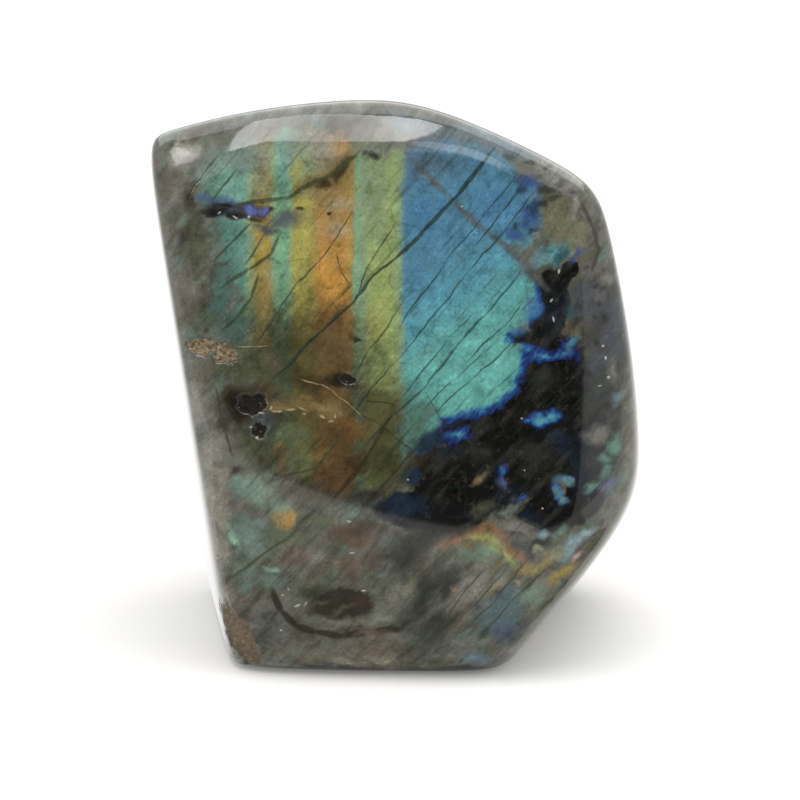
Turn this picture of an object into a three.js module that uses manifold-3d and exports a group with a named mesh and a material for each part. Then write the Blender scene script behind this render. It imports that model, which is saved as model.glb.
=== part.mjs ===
// Labradorite freeform: one polished stone that stands on its sawn foot.
//
// The lapidary ground a set of nearly flat faces on the rough and rolled each one over into
// its neighbours. The stone is that set of faces round a core point. Along any direction u
// from the core, face i would be met at reach_i / (n_i . u), and the rolled surface is met at
// the distance t where the sum of (t * n_i . u / reach_i) ^ crisp_i comes to 1. A high crisp
// gives a flat face with tight edges, a low one a domed face with soft shoulders.
//
// Millimetres, +Z up. X runs along the show face, which looks towards -Y. The origin is the
// middle of the stone's footprint, on the surface that it stands on.

import * as THREE from "three";
import { mergeVertices } from "three/addons/utils/BufferGeometryUtils.js";
import Module from "manifold-3d";

const CORE = new THREE.Vector3(-0.3, -4.6, 45); // the point that the faces are measured from
const SPHERE_DETAIL = 19; // splits of each icosahedron edge, which sets the facet size
const SETTLE_STEPS = 24; // Newton steps that find the rolled surface along a direction
const SAW_BLOCK = 200; // side of the block that stands for what the saw took off the foot

// bearing: degrees round Z from the show face (-Y) towards +X. rise: degrees above level.
// reach: millimetres from the core. crisp: how tightly the face meets its neighbours.
const FACES = [
  { name: "show face", bearing: 0, rise: 7, reach: 29.7, crisp: 26 },
  { name: "lower show face", bearing: 0, rise: 2, reach: 31.2, crisp: 9 },
  { name: "lower left roll", bearing: -17.6, rise: -11.9, reach: 41.5, crisp: 9 },
  { name: "foot roll", bearing: 0, rise: -41, reach: 49, crisp: 30 },
  { name: "left side", bearing: -82.8, rise: -7.8, reach: 36.5, crisp: 47 },
  { name: "left foot corner", bearing: -70, rise: -33, reach: 56.2, crisp: 12 },
  { name: "left crown", bearing: -128, rise: 56.5, reach: 50.6, crisp: 9 },
  { name: "crown", bearing: -177.5, rise: 80.3, reach: 48.4, crisp: 9 },
  { name: "top right", bearing: 110, rise: 60.5, reach: 45.1, crisp: 25 },
  { name: "right shoulder", bearing: 92, rise: 15.5, reach: 42.1, crisp: 22 },
  { name: "right side", bearing: 86, rise: 1.5, reach: 42.3, crisp: 9 },
  { name: "lower right", bearing: 74, rise: -38, reach: 46.5, crisp: 22 },
  { name: "back", bearing: 176, rise: 16, reach: 37.1, crisp: 14 },
  { name: "back left", bearing: -132, rise: 6, reach: 43.8, crisp: 14 },
  { name: "back right", bearing: 130, rise: 4, reach: 44, crisp: 14 },
  { name: "heel", bearing: 180, rise: -30, reach: 44, crisp: 12 },
];

const facing = ({ bearing, rise }) => {
  const round = THREE.MathUtils.degToRad(bearing);
  const up = THREE.MathUtils.degToRad(rise);
  return new THREE.Vector3(
    Math.sin(round) * Math.cos(up),
    -Math.cos(round) * Math.cos(up),
    Math.sin(up),
  );
};

const GROUND = FACES.map((face) => ({ ...face, normal: facing(face) }));

// How far the rolled surface lies from the core along a unit direction.
function surfaceDistance(direction) {
  const slopes = GROUND.map(({ normal, reach, crisp }) => ({
    slope: normal.dot(direction) / reach,
    crisp,
  })).filter(({ slope }) => slope > 0);
  let distance = 1 / Math.max(...slopes.map(({ slope }) => slope));
  for (let step = 0; step < SETTLE_STEPS; step += 1) {
    let value = -1;
    let gradient = 0;
    for (const { slope, crisp } of slopes) {
      const term = (distance * slope) ** crisp;
      value += term;
      gradient += (crisp * term) / distance;
    }
    distance -= value / gradient;
  }
  return distance;
}

function polishedBlank() {
  const blank = new THREE.IcosahedronGeometry(1, SPHERE_DETAIL);
  const places = blank.getAttribute("position");
  const direction = new THREE.Vector3();
  for (let i = 0; i < places.count; i += 1) {
    direction.fromBufferAttribute(places, i).normalize();
    direction.multiplyScalar(surfaceDistance(direction)).add(CORE);
    places.setXYZ(i, direction.x, direction.y, direction.z);
  }
  return blank;
}

const wasm = await Module();
wasm.setup();

function solidOf(geometry) {
  const bare = geometry.clone();
  bare.deleteAttribute("normal");
  bare.deleteAttribute("uv");
  const merged = mergeVertices(bare, 1e-4);
  return new wasm.Manifold(
    new wasm.Mesh({
      numProp: 3,
      vertProperties: merged.getAttribute("position").array,
      triVerts: new Uint32Array(merged.index.array),
    }),
  );
}

function geometryOf(solid) {
  const { vertProperties, triVerts } = solid.getMesh();
  const geometry = new THREE.BufferGeometry();
  geometry.setAttribute("position", new THREE.BufferAttribute(vertProperties, 3));
  geometry.setIndex(new THREE.BufferAttribute(triVerts, 1));
  geometry.computeVertexNormals();
  return geometry;
}

// The foot is a plain saw cut, level with the surface that the stone stands on.
function sawnStone() {
  const offcut = new THREE.BoxGeometry(SAW_BLOCK, SAW_BLOCK, SAW_BLOCK);
  offcut.translate(0, 0, -SAW_BLOCK / 2);
  return geometryOf(solidOf(polishedBlank()).subtract(solidOf(offcut)));
}

const labradorite = new THREE.MeshStandardMaterial({
  name: "labradorite",
  color: 0x5c6a62,
  roughness: 0.12,
  metalness: 0,
});

const stone = new THREE.Mesh(sawnStone(), labradorite);
stone.name = "labradorite_stone";

const freeform = new THREE.Group();
freeform.add(stone);

export default freeform;
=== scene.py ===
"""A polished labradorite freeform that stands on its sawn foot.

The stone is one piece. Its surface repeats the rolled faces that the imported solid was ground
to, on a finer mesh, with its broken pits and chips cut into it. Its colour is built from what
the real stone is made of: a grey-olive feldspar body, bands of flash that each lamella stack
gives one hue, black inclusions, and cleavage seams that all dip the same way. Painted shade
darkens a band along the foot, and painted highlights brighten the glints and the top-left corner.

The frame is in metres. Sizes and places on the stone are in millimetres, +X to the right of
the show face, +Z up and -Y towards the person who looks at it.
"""

import logging
import math
from dataclasses import dataclass, field
from enum import Enum

import bmesh
import bpy
import numpy as np
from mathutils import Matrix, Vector, noise

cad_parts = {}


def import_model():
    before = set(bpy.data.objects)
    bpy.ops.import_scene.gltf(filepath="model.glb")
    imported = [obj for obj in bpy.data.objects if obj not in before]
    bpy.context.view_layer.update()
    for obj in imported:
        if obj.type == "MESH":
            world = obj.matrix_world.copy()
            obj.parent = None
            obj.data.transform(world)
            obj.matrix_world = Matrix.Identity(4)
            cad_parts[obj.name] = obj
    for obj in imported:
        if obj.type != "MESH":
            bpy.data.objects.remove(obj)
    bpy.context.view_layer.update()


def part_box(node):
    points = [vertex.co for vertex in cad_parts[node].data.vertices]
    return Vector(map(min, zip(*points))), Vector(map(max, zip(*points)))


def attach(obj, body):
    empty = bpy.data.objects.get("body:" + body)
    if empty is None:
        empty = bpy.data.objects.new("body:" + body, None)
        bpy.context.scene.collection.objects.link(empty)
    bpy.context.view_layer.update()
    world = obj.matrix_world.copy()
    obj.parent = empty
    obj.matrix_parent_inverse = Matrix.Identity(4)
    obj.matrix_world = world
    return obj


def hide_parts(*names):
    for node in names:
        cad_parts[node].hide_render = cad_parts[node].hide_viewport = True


LOG = logging.getLogger("freeform")
MM = 0.001  # metres in a millimetre
NODE = "labradorite_stone"
BROKEN = "broken"  # the mesh attribute that says how broken the surface is, from 0 to 1


def linear(code: str) -> tuple[float, float, float, float]:
    """Turns an sRGB hex colour into linear light.

    Args:
        code: the colour as "#rrggbb".

    Returns:
        Red, green, blue and an alpha of 1.
    """
    parts = [int(code[i : i + 2], 16) / 255 for i in (1, 3, 5)]
    red, green, blue = (
        part / 12.92 if part <= 0.04045 else ((part + 0.055) / 1.055) ** 2.4 for part in parts
    )
    return red, green, blue, 1.0


class Tone(Enum):
    """The stone's own colours, as a dry polished face shows them in white light, with painted shade and
    painted highlights among them.
    """

    GREY_FELDSPAR = "#5d5c54"
    PALE_FELDSPAR = "#7b7a72"
    STONE_PALE = "#77746c"
    STONE_GREY = "#5b5c52"
    BROWN_FELDSPAR = "#4c4439"
    OLIVE_FELDSPAR = "#4a4d3d"
    OLIVE_GREY = "#64644f"
    DARK_OLIVE = "#30301f"
    CHARCOAL = "#32332f"
    SHALE = "#2e302f"
    SHALE_BLUE = "#3e434a"
    SHALE_PALE = "#535352"
    # Painted shade: the dark band along the foot, where the stone turns under onto the floor.
    FOOT_SHADE = "#1f1f1c"
    SHADE = "#3a3222"
    OLIVE_SHADE = "#33351f"
    MOSS_DARK = "#464937"
    DARK_BROWN = "#251f16"
    NIGHT_OLIVE = "#20231d"
    # Painted highlight: the pale spot where the top-left corner catches the overhead light.
    CORNER_HIGHLIGHT = "#a4a297"
    RING_TEAL = "#4f6768"
    TAN_GREY = "#7d796d"
    OCHRE_DULL = "#66573a"
    SOOT = "#131312"
    PEAT = "#1e1916"
    COCOA = "#4c3a28"
    COCOA_DARK = "#3a281b"
    PLUM_BROWN = "#38291c"
    CLAY = "#5f5549"
    TAN_CRUST = "#87775f"
    CREAM_CRUST = "#ad9c80"
    UMBER_GOLD = "#70613e"
    HAZE = "#8a8169"
    ROSE_BROWN = "#5c493c"
    ROSE_GREY = "#655a4e"
    ROSE = "#b0978a"
    BARK = "#605637"
    BRONZE = "#7d6c45"
    BRICK = "#745a39"
    RUST_FLASH = "#5f4527"
    EMBER = "#8a5c38"
    AMBER = "#a07a43"
    AMBER_GLOW = "#b0843f"
    GOLD = "#948542"
    GOLD_DULL = "#87774a"
    ALMOND = "#7d6d4c"
    BRASS = "#8b7c48"
    STRAW = "#96914f"
    STRAW_PALE = "#7c8067"
    OLIVE_GOLD = "#5d5636"
    SPRING = "#86965f"
    SPRING_GLOW = "#969a5c"
    LICHEN = "#707f66"
    SAGE = "#7c8f6c"
    MOSS = "#4c5a42"
    MOSS_GREEN = "#535a42"
    MINT = "#6f9576"
    MINT_BRIGHT = "#709a79"
    MINT_PALE = "#8fbba3"
    MINT_GREY = "#6d8270"
    MINT_DARK = "#4a6256"
    TEAL = "#567a6f"
    TEAL_DEEP = "#4b6b63"
    TEAL_DARK = "#44605a"
    TEAL_PALE = "#668c7f"
    TEAL_GREY = "#5f746a"
    DEEP_TEAL = "#2e4a4c"
    TURQUOISE = "#5b9a8f"
    AQUA = "#5a968f"
    LAGOON = "#528a98"
    STEEL_BLUE = "#4b768d"
    DUSK_BLUE = "#526f83"
    AZURE = "#386a90"
    AZURE_DULL = "#3f678c"
    ELECTRIC = "#243f70"
    INDIGO = "#334872"
    IRIS = "#5564a0"
    VIOLET = "#1c1f40"
    MIDNIGHT = "#1e2b3c"
    LILAC = "#565a7a"
    PLUM = "#35313d"
    MAUVE = "#4b4b4f"
    MAUVE_BLUE = "#4e5353"
    HAZE_BLUE = "#5e7078"
    SLATE = "#4a5d76"
    SLATE_DARK = "#383d3f"
    SLATE_BLUE_GREY = "#4a5f64"
    INDIGO_GREY = "#3f4c5c"
    ICE = "#7f959b"
    # Painted highlight: the colour of the glints where cleavage flecks catch the light.
    GLINT = "#b4b0a2"
    SEAM_DARK = "#24322c"
    SEAM_OLIVE = "#363c28"
    SEAM_BROWN = "#33291c"


def add_object(name: str, bm: bmesh.types.BMesh) -> bpy.types.Object:
    """Turns a bmesh into an object of the scene, and frees the bmesh."""
    mesh = bpy.data.meshes.new(name)
    bm.to_mesh(mesh)
    bm.free()
    made = bpy.data.objects.new(name, mesh)
    bpy.context.scene.collection.objects.link(made)
    return made


# ---------------------------------------------------------------------------------- shape


@dataclass(frozen=True)
class GroundFace:
    """One face that the lapidary ground, measured from the stone's core.

    bearing is in degrees round Z from the show face towards +X, rise in degrees above level,
    reach in millimetres, and crisp says how tightly the face meets its neighbours.
    """

    bearing: float
    rise: float
    reach: float
    crisp: float

    def normal(self) -> np.ndarray:
        """The direction that the face looks in."""
        turn, up = math.radians(self.bearing), math.radians(self.rise)
        return np.array(
            [math.sin(turn) * math.cos(up), -math.cos(turn) * math.cos(up), math.sin(up)]
        )


@dataclass(frozen=True)
class Lens:
    """An oval patch of the stone, thickest at its middle, seen from the show face.

    x, y and z place its middle, long and wide are its half sizes, tilt turns its long axis up
    from +X in degrees, and deep is its half size through the stone.
    """

    x: float
    z: float
    long: float
    wide: float
    tilt: float = 0.0
    y: float = -34.0
    deep: float = 32.0

    def fill(self, points: np.ndarray) -> np.ndarray:
        """How far inside the patch each point lies, from 0 at its rim to 1 at its middle."""
        turn = math.radians(self.tilt)
        x, y, z = points[:, 0] - self.x, points[:, 1] - self.y, points[:, 2] - self.z
        along = (x * math.cos(turn) + z * math.sin(turn)) / self.long
        across = (z * math.cos(turn) - x * math.sin(turn)) / self.wide
        return np.clip(1 - np.sqrt(along**2 + across**2 + (y / self.deep) ** 2), 0, 1)


@dataclass(frozen=True)
class Hollow:
    """A place where the polish never reached: a vug or a chip, with a rough broken floor.

    depth is in millimetres, and grit is about how high the cleavage steps on the floor are.
    The floor starts where the patch's fill is lip and is all broken lip_width further in. At
    the rim it has rim_share of its depth, and middle_share more at the middle. The steps count
    for step_share, and a broken place sinks by at least the given millimetres.
    """

    patch: Lens
    depth: float
    grit: float
    lip: float = 0.12
    lip_width: float = 0.2
    rim_share: float = 0.55
    middle_share: float = 0.45
    step_share: float = 0.45
    least: float = 0.05

    def sink(self, place: Vector, share: float) -> tuple[float, float]:
        """Works out the broken floor at one place.

        Args:
            place: the place on the polished surface, in millimetres.
            share: the patch's fill there.

        Returns:
            How broken the surface is there, from 0 to 1, and how far it sinks in millimetres.
        """
        # Two sizes of noise fray the rim. Flat cells with lumps on them make the floor.
        ragged = share + 0.3 * noise.noise(place * 0.9) + 0.12 * noise.noise(place * 3.1)
        edge = min(max((ragged - self.lip) / self.lip_width, 0), 1)
        steps = noise.cell(place * 1.4) * 0.5 + noise.noise(place * 2.3)
        floor = self.depth * (self.rim_share + self.middle_share * share)
        return edge, edge * max(floor + self.grit * self.step_share * steps, self.least)


@dataclass
class RolledStone:
    """The stone's body: ground faces, each rolled over into the next."""

    name: str = "labradorite_freeform"
    core: tuple[float, float, float] = (-0.3, -4.6, 45.0)
    sphere_splits: int = 7
    settle_steps: int = 24
    tight_roll: float = 5.0
    hollow_splits: int = 2
    hollow_step: float = 0.22
    faces: tuple[GroundFace, ...] = (
        GroundFace(0, 7, 29.7, 26),
        GroundFace(0, 2, 31.2, 9),
        GroundFace(-17.6, -11.9, 41.5, 9),
        GroundFace(0, -41, 49, 30),
        GroundFace(-82.8, -7.8, 36.5, 47),
        GroundFace(-70, -33, 56.2, 12),
        GroundFace(-128, 56.5, 50.6, 9),
        GroundFace(-177.5, 80.3, 48.4, 9),
        GroundFace(110, 60.5, 45.1, 25),
        GroundFace(92, 15.5, 42.1, 22),
        GroundFace(86, 1.5, 42.3, 9),
        GroundFace(74, -38, 46.5, 22),
        GroundFace(176, 16, 37.1, 14),
        GroundFace(-132, 6, 43.8, 14),
        GroundFace(130, 4, 44, 14),
        GroundFace(180, -30, 44, 12),
        GroundFace(0, -90, 45, 90),
    )
    hollows: tuple[Hollow, ...] = (
        Hollow(Lens(-31.8, 57.2, 3.2, 1.6, tilt=-6), 0.9, 0.7),
        Hollow(Lens(-28.2, 56.2, 2.6, 2.0, tilt=-25), 1.0, 0.8),
        Hollow(Lens(-23.6, 47.6, 3.0, 2.0, tilt=10), 0.9, 0.6),
        Hollow(Lens(-22.6, 43.3, 1.5, 1.4), 0.6, 0.5),
        Hollow(Lens(-26.4, 6.5, 7.5, 2.6, tilt=-65), 1.0, 0.7),
        Hollow(Lens(-8.0, 51.8, 1.9, 0.8, tilt=-8), 0.4, 0.2),
    )

    def surface(self, points: np.ndarray) -> np.ndarray:
        """Moves points onto the rolled surface, along straight lines from the core.

        Args:
            points: places in millimetres, one to a row.

        Returns:
            The moved places.
        """
        core = np.array(self.core)
        out = points - core
        out /= np.linalg.norm(out, axis=1, keepdims=True)
        normals = np.array([face.normal() for face in self.faces])
        reach = np.array([face.reach for face in self.faces])
        crisp = np.array([face.crisp for face in self.faces])
        slope = np.maximum(out @ normals.T / reach, 0)
        distance = 1 / slope.max(axis=1)
        for _ in range(self.settle_steps):
            terms = (distance[:, None] * slope) ** crisp
            distance -= (terms.sum(axis=1) - 1) / ((crisp * terms).sum(axis=1) / distance)
        return core + out * distance[:, None]

    def settle(self, bm: bmesh.types.BMesh) -> None:
        """Brings every vertex of the mesh onto the rolled surface."""
        points = self.surface(np.array([vert.co for vert in bm.verts]))
        for vert, point in zip(bm.verts, points):
            vert.co = point

    def split(self, bm: bmesh.types.BMesh, edges: list[bmesh.types.BMEdge]) -> None:
        """Halves some edges and leaves the mesh in triangles, on the rolled surface."""
        bmesh.ops.subdivide_edges(bm, edges=edges, cuts=1, use_grid_fill=True)
        bmesh.ops.triangulate(bm, faces=[face for face in bm.faces if len(face.verts) > 3])
        self.settle(bm)

    def refine(self, bm: bmesh.types.BMesh) -> None:
        """Gives the tight rolls and the hollows the smaller facets that they need."""
        limit = math.radians(self.tight_roll)
        self.split(bm, [edge for edge in bm.edges if edge.calc_face_angle(0) > limit])
        for _ in range(self.hollow_splits):
            middles = np.array([(e.verts[0].co + e.verts[1].co) / 2 for e in bm.edges])
            inside = np.zeros(len(middles))
            for hollow in self.hollows:
                inside = np.maximum(inside, hollow.patch.fill(middles))
            self.split(
                bm,
                [
                    edge
                    for edge, share in zip(bm.edges, inside)
                    if share > 0 and edge.calc_length() > self.hollow_step
                ],
            )

    def break_hollows(self, bm: bmesh.types.BMesh) -> None:
        """Sinks each hollow into the polished surface, with cleavage steps on its floor."""
        bm.normal_update()
        bm.verts.ensure_lookup_table()
        points = np.array([vert.co for vert in bm.verts])
        drop = np.zeros(len(points))
        broken = bm.verts.layers.float.new(BROKEN)
        for hollow in self.hollows:
            share = hollow.patch.fill(points)
            for i in np.nonzero(share > 0)[0]:
                edge, sink = hollow.sink(Vector(points[i]), share[i])
                drop[i] = max(drop[i], sink)
                bm.verts[i][broken] = max(bm.verts[i][broken], edge)
        for vert, depth in zip(bm.verts, drop):
            vert.co -= vert.normal * depth

    def build(self) -> bpy.types.Object:
        """Makes the stone's mesh object, in metres, with its place in its mesh.

        Returns:
            The object, linked into the scene.
        """
        bm = bmesh.new()
        bmesh.ops.create_icosphere(bm, subdivisions=self.sphere_splits, radius=1.0)
        bmesh.ops.translate(bm, verts=bm.verts, vec=Vector(self.core))
        self.settle(bm)
        self.refine(bm)
        self.break_hollows(bm)
        bmesh.ops.recalc_face_normals(bm, faces=bm.faces)
        bmesh.ops.scale(bm, verts=bm.verts, vec=(MM, MM, MM))
        for face in bm.faces:
            face.smooth = True
        return add_object(self.name, bm)


# ---------------------------------------------------------------------------------- finish

Socket = bpy.types.NodeSocket
Wires = dict[int | str, object]
NOWHERE = -99.0
MIX_SHARE, MIX_UNDER, MIX_OVER = 0, 6, 7  # the inputs of a node that mixes two colours
EASED = {"interpolation_type": "SMOOTHSTEP"}
ADD = {"operation": "ADD"}
SUBTRACT = {"operation": "SUBTRACT"}
MULTIPLY = {"operation": "MULTIPLY"}
MULTIPLY_ADD = {"operation": "MULTIPLY_ADD"}


def add_node(
    tree: bpy.types.NodeTree,
    kind: str,
    settings: dict[str, object] | None = None,
    wires: Wires | None = None,
    stops: tuple[tuple[float, Tone], ...] = (),
) -> bpy.types.Node:
    """Adds one node with its settings and its links.

    Args:
        tree: the node tree that it goes in.
        kind: the node's type.
        settings: values for the node's own properties.
        wires: for each input, a socket to link it to or a value to give it.
        stops: for a colour ramp, each stop's place from 0 to 1 and its tone.

    Returns:
        The new node.
    """
    node = tree.nodes.new(kind)
    for key, value in (settings or {}).items():
        setattr(node, key, value)
    for key, value in (wires or {}).items():
        if isinstance(value, Socket):
            tree.links.new(value, node.inputs[key])
        else:
            node.inputs[key].default_value = value
    for index, (place, tone) in enumerate(stops):
        elements = node.color_ramp.elements
        element = elements[index] if index < 2 else elements.new(place)
        element.position = place
        element.color = linear(tone.value)
    return node


@dataclass(frozen=True)
class Seam:
    """A cleavage crack or a vein: a thin dark or pale line along a route of (x, z) points.

    overlap says how much longer than its leg each of its lenses is, so that they meet.
    """

    route: tuple[tuple[float, float], ...]
    width: float = 0.25
    deep: float = 32.0
    overlap: float = 1.5

    def lenses(self) -> list[Lens]:
        """The slim lenses that the line is drawn with, one for each leg of its route."""
        legs = []
        for (x0, z0), (x1, z1) in zip(self.route, self.route[1:]):
            half = math.hypot(x1 - x0, z1 - z0) / 2
            tilt = math.degrees(math.atan2(z1 - z0, x1 - x0))
            middle = ((x0 + x1) / 2, (z0 + z1) / 2)
            long = half * self.overlap + self.width
            legs.append(Lens(*middle, long, self.width, tilt=tilt, deep=self.deep))
        return legs


@dataclass(frozen=True)
class Zone:
    """Some patches or seams that share a tone.

    soft is the fill at which the tone is full, strength how far it covers, and ragged says
    whether the edges are frayed like the stone's domains or clean like its cracks.
    """

    tone: Tone
    marks: tuple[Lens | Seam, ...]
    soft: float = 0.5
    strength: float = 1.0
    ragged: bool = True


# A lamella stack keeps one hue from top to bottom, so the hue only changes along X.
STACK_HUES = (
    (-32, Tone.TEAL_DEEP),
    (-25.2, Tone.TEAL),
    (-24.0, Tone.SAGE),
    (-22.8, Tone.BRASS),
    (-20.8, Tone.BRASS),
    (-20.0, Tone.SAGE),
    (-19.2, Tone.MINT),
    (-17.6, Tone.MINT),
    (-16.6, Tone.STRAW),
    (-14.6, Tone.STRAW),
    (-13.2, Tone.BRASS),
    (-12.2, Tone.AMBER),
    (-8.4, Tone.AMBER),
    (-7.3, Tone.BRASS),
    (-6.8, Tone.MINT),
    (-5.4, Tone.SAGE),
    (-4.2, Tone.SPRING),
    (-1.0, Tone.SPRING),
    (0.6, Tone.SAGE),
    (2.0, Tone.MINT),
)
# In the blue field the hue runs from green at the foot to blue at the crown.
BLUE_HUES = (
    (30, Tone.TEAL),
    (37, Tone.TURQUOISE),
    (52, Tone.AQUA),
    (60, Tone.LAGOON),
    (67, Tone.STEEL_BLUE),
    (78, Tone.STEEL_BLUE),
    (86, Tone.DUSK_BLUE),
)
# The flash dies away through blue and violet at its edge.
RIM_HUES = (
    (0.0, Tone.SOOT),
    (0.35, Tone.VIOLET),
    (0.95, Tone.ELECTRIC),
    (1.5, Tone.AZURE),
    (2.3, Tone.LAGOON),
)
RIM_DEPTH = 2.3  # how far in from its edge, in mm, the flash has its own hue
DARK_SHOULDER = (
    Lens(19, 42, 15, 12),
    Lens(25, 50, 8, 12),
    Lens(25, 63.5, 3.8, 8, tilt=-8),
    Lens(27.4, 69, 3.4, 1.8, tilt=50),
    Lens(11, 35, 11, 8.5),
    Lens(5, 30.2, 10, 4.2),
    Lens(20, 58.6, 5, 1.2, tilt=3),
    Lens(31, 40, 5, 11),
    Lens(27, 31, 9, 5, tilt=25),
)
BLUE_FIELD = (
    Lens(8, 80, 14.5, 12),
    Lens(20.2, 79, 3.8, 6.5),
    Lens(7, 66, 16.5, 11),
    Lens(19, 65, 5.0, 5.6, tilt=-15),
    Lens(25.4, 72.4, 4.6, 2.0, tilt=28),
    Lens(8, 54, 13.5, 9),
    Lens(14.6, 53.6, 6.0, 4.4, tilt=35),
    Lens(8.6, 49.4, 6.2, 4.2, tilt=25),
    Lens(3, 44, 4, 6, tilt=-35),
    Lens(20, 57.0, 3.4, 1.2, tilt=-12),
    Lens(24.6, 55.9, 5.4, 1.1, tilt=-2),
    Lens(28.4, 57.2, 2.2, 1.5, tilt=55),
    Lens(9.7, 42.9, 2.7, 1.3, tilt=8),
)
STACK_FIELD = (
    Lens(-14, 76, 18.5, 19),
    Lens(-12, 60, 17, 14),
    Lens(-8, 44, 13, 12, tilt=-8),
    Lens(-2, 66, 7, 26),
)
SPARKS = (
    Lens(23.6, 45.3, 2.6, 1.7, tilt=12),
    Lens(25.4, 45.9, 2.4, 1.4, tilt=12),
    Lens(21.4, 45.2, 1.6, 0.8),
    Lens(16.9, 36.7, 0.9, 1.5, tilt=-20),
    Lens(20.3, 32.1, 1.5, 0.7, tilt=52),
    Lens(26.2, 33.4, 1.3, 2.4, tilt=10),
    Lens(27.6, 35.0, 2.0, 1.0, tilt=-10),
    Lens(27.4, 31.8, 1.2, 0.9),
)
SMOOTH_CHIP = (Lens(-26.4, 6.5, 12, 5, tilt=-65),)
DARK_VUGS = (Lens(-23.6, 47.4, 4.5, 3.4), Lens(-22.5, 43.3, 2.4, 2.2), Lens(-8, 51.8, 3, 1.6))

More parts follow.
